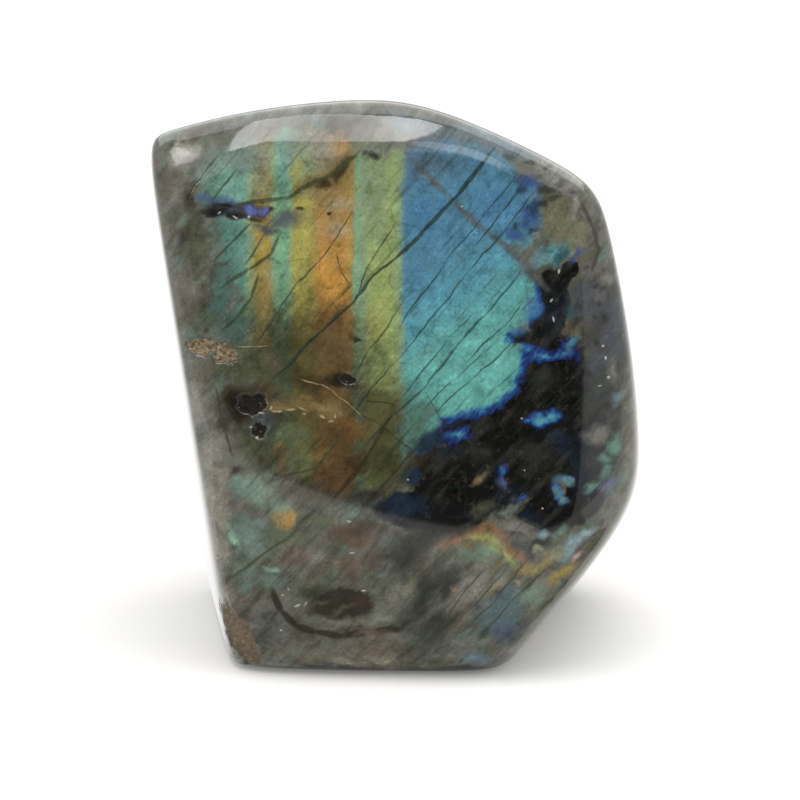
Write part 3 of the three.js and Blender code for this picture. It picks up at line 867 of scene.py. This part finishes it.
        Lens(-27, 24.2, 0.2, 0.3), Lens(-22.8, 42.2, 0.4, 0.3), Lens(-23.9, 43.9, 0.3, 0.2),
        Lens(10.6, 80.1, 0.3, 0.2), Lens(33.8, 57.1, 0.3, 0.25), Lens(34.9, 52.2, 0.4, 0.25, tilt=60),
        Lens(34.4, 55.2, 0.2, 0.4), Lens(21, 36.8, 0.2, 0.2), Lens(23.8, 30.8, 0.25, 0.18),
        Lens(1.7, 35.3, 0.25, 0.2), Lens(24, 87, 0.2, 0.2), Lens(33.4, 50.6, 0.5, 0.15, tilt=20),
    ), 0.5, 0.7, ragged=False),
    # Crumbs of crust along the vein by the vugs.
    Zone(Tone.CREAM_CRUST, (
        Lens(-20.6, 47.2, 0.5, 0.3, tilt=60), Lens(-19.6, 46.6, 1.2, 0.3, tilt=-8),
        Lens(-17.4, 46.9, 1.0, 0.28, tilt=10), Lens(-15.6, 47.2, 0.8, 0.25, tilt=-20),
        Lens(-15.4, 46.2, 0.4, 0.2), Lens(-12.4, 45.6, 0.8, 0.25, tilt=-30), Lens(-11.0, 44.7, 0.6, 0.25),
        Lens(-10.3, 45.5, 0.25, 0.5), Lens(-21.4, 47.8, 0.3, 0.9), Lens(-22.4, 46.2, 0.9, 0.22),
        Lens(-8, 2.6, 0.8, 0.25), Lens(-1.6, 3.2, 0.7, 0.3, tilt=20), Lens(-3.2, 2.8, 0.4, 0.2),
        Lens(-5.4, 3, 0.4, 0.2),
    ), 0.6, 0.6, ragged=False),
)


@dataclass(frozen=True)
class Sector:
    """A block of the stone, from low to high in mm, whose surface is dressed by itself.

    Each mark takes time at every point that is shaded, so a sector's material holds only the
    marks that can reach it. Where sectors meet, both work out the same colour. slack is how far
    a place can wander before its marks are read, in mm, and stretch how far frayed edges reach.
    """

    low: tuple[float, float, float]
    high: tuple[float, float, float]
    slack: float = 4.5
    stretch: float = 1.2

    def holds(self, points: np.ndarray) -> np.ndarray:
        """Which points lie in the block."""
        return np.all((points >= self.low) & (points < self.high), axis=1)

    def meets(self, lens: Lens) -> bool:
        """Whether a patch, with the wander of its edges, can reach the block."""
        turn = math.radians(lens.tilt)
        reach = (
            math.hypot(lens.long * math.cos(turn), lens.wide * math.sin(turn)),
            lens.deep,
            math.hypot(lens.long * math.sin(turn), lens.wide * math.cos(turn)),
        )
        sides = zip(self.low, self.high, (lens.x, lens.y, lens.z), reach)
        return all(
            low - self.slack < middle + self.stretch * half
            and middle - self.stretch * half < high + self.slack
            for low, high, middle, half in sides
        )


# The sectors' outer sides lie well clear of the stone.
COLUMNS = (-99.0, -15.0, 6.0, 99.0)
ROWS = (-99.0, 32.0, 60.0, 199.0)
SHOW_BACK = 4.0
SECTORS = tuple(
    Sector((left, -99.0, low), (right, SHOW_BACK, high))
    for left, right in zip(COLUMNS, COLUMNS[1:])
    for low, high in zip(ROWS, ROWS[1:])
) + (Sector((-99.0, SHOW_BACK, -99.0), (99.0, 99.0, 199.0)),)


@dataclass
class Drawing:
    """Adds nodes to one node tree."""

    tree: bpy.types.NodeTree

    def node(self, kind: str, settings: dict | None = None, wires: Wires | None = None, **more) -> Socket:
        """Adds a node and gives its first output that is in use."""
        made = add_node(self.tree, kind, settings, wires, **more)
        return next(socket for socket in made.outputs if socket.enabled)


@dataclass
class MarkGroup(Drawing):
    """A node group that tells how far inside some patches a place in millimetres is.

    Patches of about the same tilt share a turned place, a whole number of steps of turn_step
    degrees round, because turning is slow.
    """

    turn_step: float = 3.0
    turned: dict[float, Socket] = field(default_factory=dict)

    def turn(self, place: Socket, tilt: float) -> tuple[Socket, float]:
        """The place, turned so that marks of about this tilt lie along X.

        Args:
            place: the place before it is turned.
            tilt: how far the marks' long axis is turned up from +X, in degrees.

        Returns:
            The turned place and how far it is turned, in radians.
        """
        near = round(tilt / self.turn_step) * self.turn_step % 180
        if near not in self.turned:
            wires = {"Vector": place, "Angle": math.radians(near)}
            self.turned[near] = self.node("ShaderNodeVectorRotate", {"rotation_type": "Y_AXIS"}, wires)
        return self.turned[near], math.radians(near)

    def build(self, lenses: list[Lens], in_mm: bool) -> None:
        """Fills the group.

        Args:
            lenses: the patches.
            in_mm: gives the depth inside a patch in millimetres in place of a share.
        """
        self.tree.interface.new_socket("Place", in_out="INPUT", socket_type="NodeSocketVector")
        self.tree.interface.new_socket("Fill", in_out="OUTPUT", socket_type="NodeSocketFloat")
        place = self.node("NodeGroupInput")
        least: Socket | None = None
        for lens in lenses:
            turned, angle = self.turn(place, lens.tilt)
            along = lens.x * math.cos(angle) + lens.z * math.sin(angle)
            across = lens.z * math.cos(angle) - lens.x * math.sin(angle)
            size = (1 / lens.long, 1 / lens.deep, 1 / lens.wide)
            start = (-along / lens.long, -lens.y / lens.deep, -across / lens.wide)
            local = self.node("ShaderNodeVectorMath", MULTIPLY_ADD, {0: turned, 1: size, 2: start})
            away = self.node("ShaderNodeVectorMath", {"operation": "LENGTH"}, {0: local})
            if in_mm:
                thick = min(lens.long, lens.wide)
                away = self.node("ShaderNodeMath", MULTIPLY_ADD, {0: away, 1: thick, 2: 1 - thick})
            if least is not None:
                away = self.node("ShaderNodeMath", {"operation": "MINIMUM"}, {0: least, 1: away})
            least = away
        fill = self.node("ShaderNodeMath", SUBTRACT, {0: 1.0, 1: least})
        add_node(self.tree, "NodeGroupOutput", None, {"Fill": fill})


@dataclass
class LabradoritePattern(Drawing):
    """Draws the stone's markings in a node tree that reads Object coordinates.

    cleavage is how far the cleavage rises from +X, in degrees. The fray settings say how much
    the noise counts at the edge of a domain or a field, and at which fill a frayed or a clean
    edge starts.
    """

    sector: Sector
    cleavage: float = 49.0
    ragged_turn: float = 10.0
    fray_share: float = 0.45
    field_fray: float = 0.3
    fray_low: float = 0.25
    clean_low: float = 0.02
    fray: Socket = field(init=False)
    mm: Socket = field(init=False)
    loose: Socket = field(init=False)
    tight: Socket = field(init=False)

    def tint(
        self,
        under: object,
        over: object,
        fill: object,
        low: object,
        high: float,
        top: float = 1.0,
        also: Socket | None = None,
        blend: str = "MIX",
    ) -> Socket:
        """Lays one colour over another where a number is high.

        Args:
            under: the lower colour, a tone or a socket.
            over: the upper colour, a tone, a socket or four numbers.
            fill: the number.
            low: the number at which the upper colour starts.
            high: the number at which it is full.
            top: how far it covers where it is full.
            also: a second share that it is thinned by.
            blend: how the upper colour works on the lower one.

        Returns:
            The colour of both together.
        """
        wires = {"Value": fill, "From Min": low, "From Max": high, "To Max": top}
        share = self.node("ShaderNodeMapRange", EASED, wires)
        if also is not None:
            share = self.node("ShaderNodeMath", MULTIPLY, {0: share, 1: also})
        parts = [linear(part.value) if isinstance(part, Tone) else part for part in (under, over)]
        wires = {MIX_SHARE: share, MIX_UNDER: parts[0], MIX_OVER: parts[1]}
        return self.node("ShaderNodeMix", {"data_type": "RGBA", "blend_type": blend}, wires)

    def shade(self, colour: Socket, factor: float, fill: Socket, *span: float) -> Socket:
        """Makes a colour darker or lighter by a factor where a number is high, as tint does."""
        return self.tint(colour, (factor, factor, factor, 1.0), fill, *span, blend="MULTIPLY")

    def ramp(self, value: Socket, low: float, high: float, stops: tuple) -> Socket:
        """Turns a number into a colour, by stops that give (number, tone)."""
        share = self.node("ShaderNodeMapRange", None, {"Value": value, "From Min": low, "From Max": high})
        placed = tuple(((at - low) / (high - low), tone) for at, tone in stops)
        return self.node("ShaderNodeValToRGB", None, {"Fac": share}, stops=placed)

    def streaks(
        self, size: tuple, tilt: float, detail: float = 3.0, rough: float = 0.5, at: tuple = (0, 0, 0)
    ) -> Socket:
        """Noise whose lumps are drawn out.

        Args:
            size: how far apart the lumps are along, through and across, in millimetres.
            tilt: how far their long axis is turned up from +X, in degrees.
            detail: how many finer layers the noise has.
            rough: how strong the finer layers are.
            at: where on the stone the noise has its origin, in millimetres.

        Returns:
            A number from 0 to 1.
        """
        turn = (0, -math.radians(tilt), 0)
        wires = {"Vector": self.mm, "Location": at, "Rotation": turn, "Scale": size}
        place = self.node("ShaderNodeMapping", {"vector_type": "TEXTURE"}, wires)
        wires = {"Vector": place, "Scale": 1.0, "Detail": detail, "Roughness": rough}
        return self.node("ShaderNodeTexNoise", None, wires)

    def wander(self, period: float, reach: float, start: Socket) -> Socket:
        """Shifts a place by up to about half of reach, in lumps of a period."""
        wires = {"Vector": self.mm, "Scale": 1 / period, "Detail": 2.0}
        made = add_node(self.tree, "ShaderNodeTexNoise", None, wires)
        wires = {0: made.outputs["Color"], 1: (0.5,) * 3}
        centred = self.node("ShaderNodeVectorMath", SUBTRACT, wires)
        wires = {0: centred, 1: (reach,) * 3, 2: start}
        return self.node("ShaderNodeVectorMath", MULTIPLY_ADD, wires)

    def union(
        self, marks: tuple[Lens | Seam, ...], ragged: bool = True, in_mm: bool = False
    ) -> Socket | float:
        """The fill of whichever of some marks is thickest at a point.

        Args:
            marks: the patches and seams.
            ragged: reads the place with the coarse wander, in place of the fine one.
            in_mm: gives the depth inside the patch in millimetres in place of a share.

        Returns:
            A number above 0 inside the marks and below 0 outside them, or NOWHERE if no mark
            reaches the sector.
        """
        lenses = [lens for mark in marks for lens in (mark.lenses() if isinstance(mark, Seam) else [mark])]
        lenses = list(filter(self.sector.meets, lenses))
        if not lenses:
            return NOWHERE
        group = MarkGroup(bpy.data.node_groups.new("marks", "ShaderNodeTree"))
        if ragged:
            group.turn_step = self.ragged_turn
        group.build(lenses, in_mm)
        wires = {"Place": self.loose if ragged else self.tight}
        return self.node("ShaderNodeGroup", {"node_tree": group.tree}, wires)

    def draw(self, under: Socket, zone: Zone) -> Socket:
        """Draws a zone over a colour."""
        fill = self.union(zone.marks, zone.ragged)
        if fill == NOWHERE:
            return under
        low = self.clean_low
        if zone.ragged:
            wires = {0: self.fray, 1: self.fray_share, 2: fill}
            fill = self.node("ShaderNodeMath", MULTIPLY_ADD, wires)
            low = self.fray_low
        return self.tint(under, zone.tone, fill, low, low + zone.soft, zone.strength)

    def body(self) -> Socket:
        """The feldspar between the flashes: grey-green, cloudy, with brown and olive drifts."""
        streak = self.streaks((5, 5, 1.4), self.cleavage)
        brown = self.node("ShaderNodeTexNoise", None, {"Vector": self.mm, "Scale": 1 / 7, "Detail": 3.0})
        colour = self.tint(Tone.GREY_FELDSPAR, Tone.BROWN_FELDSPAR, brown, 0.44, 0.64, 0.8)
        olive = self.streaks((6, 6, 3), 35, at=(31, 7, 3))
        colour = self.tint(colour, Tone.OLIVE_FELDSPAR, olive, 0.45, 0.62, 0.8)
        teal = self.streaks((7, 7, 3.2), self.cleavage, at=(13, 5, 41))
        colour = self.tint(colour, Tone.TEAL_GREY, teal, 0.54, 0.7, 0.6)
        colour = self.tint(colour, Tone.DARK_OLIVE, streak, 0.5, 0.28, 0.75)
        return self.tint(colour, Tone.PALE_FELDSPAR, streak, 0.56, 0.75, 0.45)

    def hue(self) -> Socket:
        """The flash colour at each place: one hue for each upright stack of lamellae."""
        parts = add_node(self.tree, "ShaderNodeSeparateXYZ", None, {"Vector": self.tight})
        x, z = parts.outputs["X"], parts.outputs["Z"]
        stacks = self.ramp(x, -34, 4, STACK_HUES)
        height = self.node("ShaderNodeMath", MULTIPLY_ADD, {0: x, 1: -0.6, 2: z})
        return self.tint(stacks, self.ramp(height, 30, 86, BLUE_HUES), x, 0.3, 1.7)

    def dusk(self, drift: Socket) -> Socket:
        """The shoulder where the stone doesn't flash: nearly black, with brown and blue in it."""
        colour = self.tint(Tone.SOOT, Tone.CHARCOAL, drift, 0.48, 0.72, 0.6)
        wires = {"Vector": self.mm, "Scale": 1 / 1.1, "Detail": 4.0, "Roughness": 0.7}
        specks = self.node("ShaderNodeTexNoise", None, wires)
        colour = self.tint(colour, Tone.BROWN_FELDSPAR, specks, 0.54, 0.74, 0.5)
        blue = self.node("ShaderNodeTexNoise", None, {"Vector": self.mm, "Scale": 1 / 9, "Detail": 3.0})
        return self.tint(colour, Tone.MIDNIGHT, blue, 0.52, 0.7, 0.4)

    def colour(self) -> Socket:
        """The polished stone's colour, from the body up to the seams."""
        flash = self.hue()
        drift = self.streaks((6, 6, 2.0), self.cleavage)
        flash = self.tint(flash, Tone.MOSS, drift, 0.48, 0.28, 0.28)
        flash = self.tint(flash, Tone.ICE, drift, 0.58, 0.75, 0.15)

        wires = {0: self.fray, 1: self.field_fray, 2: self.union(DARK_SHOULDER)}
        frayed = self.node("ShaderNodeMath", MULTIPLY_ADD, wires)
        soot = self.node("ShaderNodeMapRange", EASED, {"Value": frayed, "From Min": 0.22, "From Max": 0.4})
        wires = {MIX_SHARE: soot, MIX_UNDER: self.body(), MIX_OVER: self.dusk(drift)}
        colour = self.node("ShaderNodeMix", {"data_type": "RGBA"}, wires)

        # The depth inside the blue field, in mm, with a wandering edge, picks the rim's hue.
        depth = self.union(BLUE_FIELD, in_mm=True)
        wobble = self.node("ShaderNodeMath", MULTIPLY_ADD, {0: self.fray, 1: 2.0, 2: -0.6})
        depth = self.node("ShaderNodeMath", ADD, {0: depth, 1: wobble})
        rim = self.ramp(depth, 0, RIM_DEPTH, RIM_HUES)
        colour = self.tint(colour, rim, depth, 0.05, 0.5, also=soot)
        # Over the dark shoulder the rim shows, and elsewhere the flash starts at the edge.
        start = self.node("ShaderNodeMath", MULTIPLY, {0: soot, 1: 1.2})
        colour = self.tint(colour, flash, depth, start, RIM_DEPTH)
        wires = {0: self.fray, 1: self.field_fray, 2: self.union(STACK_FIELD)}
        frayed = self.node("ShaderNodeMath", MULTIPLY_ADD, wires)
        colour = self.tint(colour, flash, frayed, 0.2, 0.42)

        # The sparks are depths in mm too, drawn steeper so that they fade over a short way.
        spark = self.union(SPARKS, in_mm=True)
        wobble = self.node("ShaderNodeMath", MULTIPLY_ADD, {0: self.fray, 1: 1.4, 2: -0.6})
        spark = self.node("ShaderNodeMath", MULTIPLY_ADD, {0: spark, 1: 1.7, 2: wobble})
        colour = self.tint(colour, self.ramp(spark, 0, RIM_DEPTH, RIM_HUES), spark, -0.3, 1.3)
        for zone in MARKINGS:
            colour = self.draw(colour, zone)
        if self.sector.low[1] >= SHOW_BACK:
            colour = self.far_flash(colour, flash)
        return self.fine_marks(colour)

    def far_flash(self, colour: Socket, flash: Socket) -> Socket:
        """Lays the flash over the back: in dull broken patches, away from the show face."""
        y = add_node(self.tree, "ShaderNodeSeparateXYZ", None, {"Vector": self.mm}).outputs["Y"]
        wires = {"Value": y, "From Min": SHOW_BACK, "From Max": SHOW_BACK + 9}
        far = self.node("ShaderNodeMapRange", EASED, wires)
        patches = self.streaks((15, 30, 8), self.cleavage)
        return self.tint(colour, flash, patches, 0.5, 0.64, 0.5, also=far)

    def fine_marks(self, colour: Socket) -> Socket:
        """The marks that are too many to place: cleavage hairlines, healed cracks and specks."""
        drift = self.streaks((5, 9, 0.9), self.cleavage + 3, rough=0.6, at=(3, 8, 1))
        colour = self.shade(colour, 0.55, drift, 0.5, 0.3, 0.35)
        colour = self.shade(colour, 1.45, drift, 0.56, 0.72, 0.35)
        wires = {"Vector": self.mm, "Scale": 1 / 2.6, "Detail": 3.0, "Roughness": 0.6}
        blotch = self.node("ShaderNodeTexNoise", None, wires)
        colour = self.shade(colour, 0.6, blotch, 0.5, 0.3, 0.8)
        colour = self.shade(colour, 1.4, blotch, 0.54, 0.72, 0.8)

        cloudy = self.node("ShaderNodeTexNoise", None, {"Vector": self.mm, "Scale": 1 / 8, "Detail": 2.0})
        where = self.node("ShaderNodeMapRange", EASED, {"Value": cloudy, "From Min": 0.4, "From Max": 0.6})
        hair = self.streaks((26, 60, 0.5), self.cleavage, detail=1.0)
        colour = self.tint(colour, Tone.SEAM_DARK, hair, 0.62, 0.7, 0.4, also=where)
        wires = {"Vector": self.loose, "Scale": 1 / 5.5}
        cracks = self.node("ShaderNodeTexVoronoi", {"feature": "DISTANCE_TO_EDGE"}, wires)
        colour = self.tint(colour, Tone.SEAM_DARK, cracks, 0.03, 0.0, 0.25, also=where)
        grain = self.node("ShaderNodeTexNoise", None, {"Vector": self.mm, "Scale": 1 / 0.45, "Detail": 2.0})
        colour = self.shade(colour, 0.5, grain, 0.5, 0.25, 0.5)
        return self.shade(colour, 1.6, grain, 0.56, 0.82, 0.6)

    def build(self) -> tuple[Socket, Socket]:
        """Draws everything.

        Returns:
            The colour, and how broken the surface is.
        """
        coords = add_node(self.tree, "ShaderNodeTexCoord")
        self.mm = self.node(
            "ShaderNodeVectorMath", {"operation": "SCALE"}, {0: coords.outputs["Object"], "Scale": 1 / MM}
        )
        coarse = self.wander(8, 1.6, self.mm)
        self.tight = self.wander(1.7, 0.45, coarse)
        self.loose = self.wander(3.0, 2.6, coarse)
        self.fray = self.streaks((1.6, 1.6, 0.7), self.cleavage, rough=0.6)
        colour = self.colour()
        broken = self.node("ShaderNodeAttribute", {"attribute_name": BROKEN})
        broken = next(s for s in broken.node.outputs if s.name == "Fac")

        wires = {"Vector": self.mm, "Scale": 1 / 0.7, "Detail": 3.0, "Roughness": 0.65}
        grit = self.node("ShaderNodeTexNoise", None, wires)
        crust = self.tint(Tone.BROWN_FELDSPAR, Tone.TAN_CRUST, grit, 0.35, 0.55)
        crust = self.tint(crust, Tone.CREAM_CRUST, grit, 0.55, 0.7)
        chip = self.union(SMOOTH_CHIP)
        if chip != NOWHERE:
            crust = self.tint(crust, Tone.CLAY, chip, 0.02, 0.2, 0.7)
        wires = {"Value": self.union(DARK_VUGS), "From Min": 0.02, "From Max": 0.2}
        dark = self.node("ShaderNodeMapRange", EASED, wires)
        crust = self.tint(crust, Tone.PEAT, grit, 0.74, 0.6, also=dark)
        return self.tint(colour, crust, broken, 0.25, 0.75), broken


@dataclass
class PolishedLabradorite:
    """Labradorite feldspar, ground and buffed to a wet gloss, with its broken spots left rough."""

    name: str = "polished_labradorite"
    gloss: float = 0.045
    broken_rough: float = 0.85
    sheen: float = 0.5
    broken_sheen: float = 0.12
    index: float = 1.56

    def dress(self, stone: bpy.types.Object) -> None:
        """Dresses each sector of the stone in its own material."""
        centres = np.zeros(len(stone.data.polygons) * 3)
        stone.data.polygons.foreach_get("center", centres)
        centres = centres.reshape(-1, 3) / MM
        index = np.zeros(len(centres), dtype=np.int32)
        for number, sector in enumerate(SECTORS):
            index[sector.holds(centres)] = number
            stone.data.materials.append(self.material(sector, f"{self.name}_{number + 1}"))
        stone.data.polygons.foreach_set("material_index", index)

    def material(self, sector: Sector, name: str) -> bpy.types.Material:
        """Builds the material for one sector of the stone."""
        material = bpy.data.materials.new(name)
        material.use_nodes = True
        tree = material.node_tree
        tree.nodes.clear()
        colour, broken = LabradoritePattern(tree, sector).build()
        wires = {"Value": broken, "From Max": 0.3, "To Min": self.gloss, "To Max": self.broken_rough}
        rough = add_node(tree, "ShaderNodeMapRange", None, wires)
        wires = {"Value": broken, "From Max": 0.3, "To Min": self.sheen, "To Max": self.broken_sheen}
        sheen = add_node(tree, "ShaderNodeMapRange", None, wires)
        wires = {
            "Base Color": colour,
            "Roughness": rough.outputs["Result"],
            "IOR": self.index,
            "Specular IOR Level": sheen.outputs["Result"],
        }
        shader = add_node(tree, "ShaderNodeBsdfPrincipled", None, wires)
        add_node(tree, "ShaderNodeOutputMaterial", None, {"Surface": shader.outputs["BSDF"]})
        LOG.info("%s: %d nodes", name, len(tree.nodes))
        return material


# ---------------------------------------------------------------------------------- studio


def plain_material(name: str, colour: str, rough: float, glow: float = 0.0) -> bpy.types.Material:
    """Makes a one-colour material for a studio object, which glows if glow is above 0."""
    material = bpy.data.materials.new(name)
    material.use_nodes = True
    shader = material.node_tree.nodes["Principled BSDF"]
    shader.inputs["Base Color"].default_value = linear(colour)
    shader.inputs["Roughness"].default_value = rough
    shader.inputs["Specular IOR Level"].default_value = 0.0
    shader.inputs["Emission Color"].default_value = linear(colour)
    shader.inputs["Emission Strength"].default_value = glow
    return material


@dataclass(frozen=True)
class ReflectedCard:
    """A studio card that only shows as a reflection in the polish.

    Its corners are in millimetres, one after the other round its rim, and glow gives how
    bright it looks at each of them.
    """

    name: str
    corners: tuple[tuple[float, float, float], ...]
    glow: tuple[float, ...]

    def build(self) -> bpy.types.Object:
        """Makes the card, which the camera and the stone's matt light don't see."""
        bm = bmesh.new()
        glow = bm.verts.layers.float.new("glow")
        for corner, bright in zip(self.corners, self.glow):
            bm.verts.new(Vector(corner) * MM)[glow] = bright
        bmesh.ops.contextual_create(bm, geom=bm.verts)
        card = add_object(self.name, bm)
        material = plain_material(self.name, "#000000", 1.0)
        bright = add_node(material.node_tree, "ShaderNodeAttribute", {"attribute_name": "glow"})
        shader = material.node_tree.nodes["Principled BSDF"]
        shader.inputs["Emission Color"].default_value = linear("#ffffff")
        material.node_tree.links.new(bright.outputs["Fac"], shader.inputs["Emission Strength"])
        card.data.materials.append(material)
        card.visible_camera = False
        card.visible_diffuse = False
        card.visible_shadow = False
        return card


CARD_PLANE = -236.0  # the y of the cards that stand in front of the stone, in mm
CARD_LIFT = 0.5  # the height of the cards that lie on the floor, in mm
CEILING = 500.0  # the height of the ceiling card, in mm


def upright(*corners: tuple[float, float]) -> tuple[tuple[float, float, float], ...]:
    """The corners of a card that stands in front of the stone, from its (x, z) places."""
    return tuple((x, CARD_PLANE, z) for x, z in corners)


def level(z: float, *corners: tuple[float, float]) -> tuple[tuple[float, float, float], ...]:
    """The corners of a card that lies flat at a height, from its (x, y) places."""
    return tuple((x, y, z) for x, y in corners)


def softbox_panels(
    ribs: tuple[tuple[float, float, float, float, float, float], ...]
) -> tuple[ReflectedCard, ...]:
    """The panels of the long softbox, each of them stretched between two ribs.

    Args:
        ribs: the x, z and glow of each rib's foot, then those of its top.

    Returns:
        One card for each pair of neighbouring ribs.
    """
    panels = []
    for index, (near, far) in enumerate(zip(ribs, ribs[1:])):
        corners = upright(near[0:2], far[0:2], far[3:5], near[3:5])
        panels.append(ReflectedCard(f"softbox_{index}", corners, (near[2], far[2], far[5], near[5])))
    return tuple(panels)


@dataclass
class Studio:
    """A pale floor, white surroundings and soft light from overhead.

    The floor's side and the light's size are in metres, and so is the light's place, which is
    measured from the point that the light is aimed at.
    """

    floor_side: float = 6.0
    floor_colour: str = "#f7f6f4"
    floor_glow: float = 0.15
    surround: float = 0.95
    overhead_watts: float = 2.2
    overhead_size: tuple[float, float] = (0.7, 0.5)
    overhead_place: tuple[float, float, float] = (0.05, -0.15, 0.6)
    cards: tuple[ReflectedCard, ...] = (
        ReflectedCard("dark_opening", upright((-47, 0), (59, 0), (72, 138), (-56, 112)), (0.003,) * 4),
        ReflectedCard(
            "left_wall", upright((-230, 0), (-47, 0), (-56, 112), (-230, 112)), (0.8, 0.5, 0.5, 0.8)
        ),
        ReflectedCard("right_wall", upright((59, 0), (300, 0), (300, 138), (72, 138)), (0.5, 0.8, 0.8, 0.5)),
        ReflectedCard(
            "shaded_floor",
            level(CARD_LIFT, (-90, CARD_PLANE), (70, CARD_PLANE), (70, -110), (-90, -110)),
            (0.8, 0.8, 0.33, 0.33),
        ),
        ReflectedCard(
            "shaded_foot",
            level(CARD_LIFT, (-90, -110), (70, -110), (70, -30), (-90, -30)),
            (0.33, 0.33, 0.3, 0.3),
        ),
        ReflectedCard(
            "lit_floor",
            level(CARD_LIFT, (-600, -25), (-29, -25), (-37, 40), (-60, 600), (-600, 600)),
            (1.3, 0.9, 1.15, 1.3, 1.3),
        ),
        ReflectedCard(
            "ceiling",
            level(CEILING, (-600, -230), (600, -230), (600, 900), (-600, 900)),
            (3.3,) * 4,
        ),
        ReflectedCard(
            "light_gap",
            upright(
                (3, 134), (11, 130), (22, 130), (34, 121), (40, 140),
                (38, 156), (29, 154), (14, 145), (4, 141),
            ),
            (2.4, 3.0, 3.0, 1.8, 1.8, 3.0, 3.0, 3.0, 2.4),
        ),
        ReflectedCard(
            "corner_window",
            upright(
                (-58, 141), (-62, 160), (-74, 185), (-91, 225),
                (-112, 245), (-118, 215), (-92, 175), (-72, 141),
            ),
            (4.5, 5.0, 5.0, 4.5, 3.5, 3.5, 4.0, 4.5),
        ),
        *softbox_panels(
            (
                (-48, 147, 8.0, -112, 530, 8.0),
                (-38, 160, 6.0, -77, 548, 6.0),
                (-22, 145, 3.0, -38, 400, 5.5),
                (-7, 139, 4.5, -8, 305, 6.5),
                (2, 140, 9.0, 20, 312, 8.0),
                (12, 162, 8.0, 66, 325, 6.0),
            )
        ),
    )

    def build(self, aim: Vector) -> None:
        """Lays the floor, whitens the surroundings, hangs the light and places the cards."""
        bm = bmesh.new()
        bmesh.ops.create_grid(bm, x_segments=1, y_segments=1, size=self.floor_side / 2)
        floor = add_object("studio_floor", bm)
        floor.data.materials.append(plain_material("backlit_paper", self.floor_colour, 1.0, self.floor_glow))

        world = bpy.data.worlds.new("white_surroundings")
        world.use_nodes = True
        background = world.node_tree.nodes["Background"]
        background.inputs["Color"].default_value = linear("#ffffff")
        background.inputs["Strength"].default_value = self.surround
        bpy.context.scene.world = world

        lamp = bpy.data.lights.new("overhead_softbox", "AREA")
        lamp.shape = "RECTANGLE"
        lamp.size, lamp.size_y = self.overhead_size
        lamp.energy = self.overhead_watts
        hung = bpy.data.objects.new("overhead_softbox", lamp)
        hung.location = aim + Vector(self.overhead_place)
        hung.rotation_euler = (aim - hung.location).to_track_quat("-Z", "Y").to_euler()
        bpy.context.scene.collection.objects.link(hung)

        for card in self.cards:
            card.build()
        bpy.context.scene.view_settings.view_transform = "Standard"


@dataclass
class Viewpoint:
    """The camera: it looks slightly down at the show face from arm's length.

    It looks down by rise degrees from away metres. It aims at a share of the stone's height,
    beside the middle of the stone's box by aim_shift metres along X and Y.
    """

    rise: float = 14.0
    away: float = 0.600
    lens_mm: float = 157.0
    aim_height: float = 0.4284
    aim_shift: tuple[float, float] = (0.00035, -0.00478)

    def build(self, low: Vector, high: Vector) -> bpy.types.Object:
        """Places the camera for a stone with these corners.

        Args:
            low: the lowest corner of the stone's box.
            high: its highest corner.

        Returns:
            The camera, which is also made the scene's camera.
        """
        camera = bpy.data.objects.new("camera", bpy.data.cameras.new("camera"))
        camera.data.lens = self.lens_mm
        aim = (low + high) / 2
        aim += Vector((*self.aim_shift, (high.z - low.z) * (self.aim_height - 0.5)))
        rise = math.radians(self.rise)
        camera.location = aim + Vector((0, -math.cos(rise), math.sin(rise))) * self.away
        camera.rotation_euler = (aim - camera.location).to_track_quat("-Z", "Y").to_euler()
        bpy.context.scene.collection.objects.link(camera)
        bpy.context.scene.camera = camera
        return camera


def main() -> None:
    """Builds the camera, the studio and the stone, and logs how many faces the stone has."""
    logging.basicConfig(level=logging.INFO, format="%(message)s")
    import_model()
    low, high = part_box(NODE)

    Viewpoint().build(low, high)
    Studio().build((low + high) / 2)

    stone = RolledStone().build()
    PolishedLabradorite().dress(stone)
    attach(stone, "root")
    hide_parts(NODE)
    LOG.info("%s: %d faces", stone.name, len(stone.data.polygons))


if __name__ == "__main__":
    main()
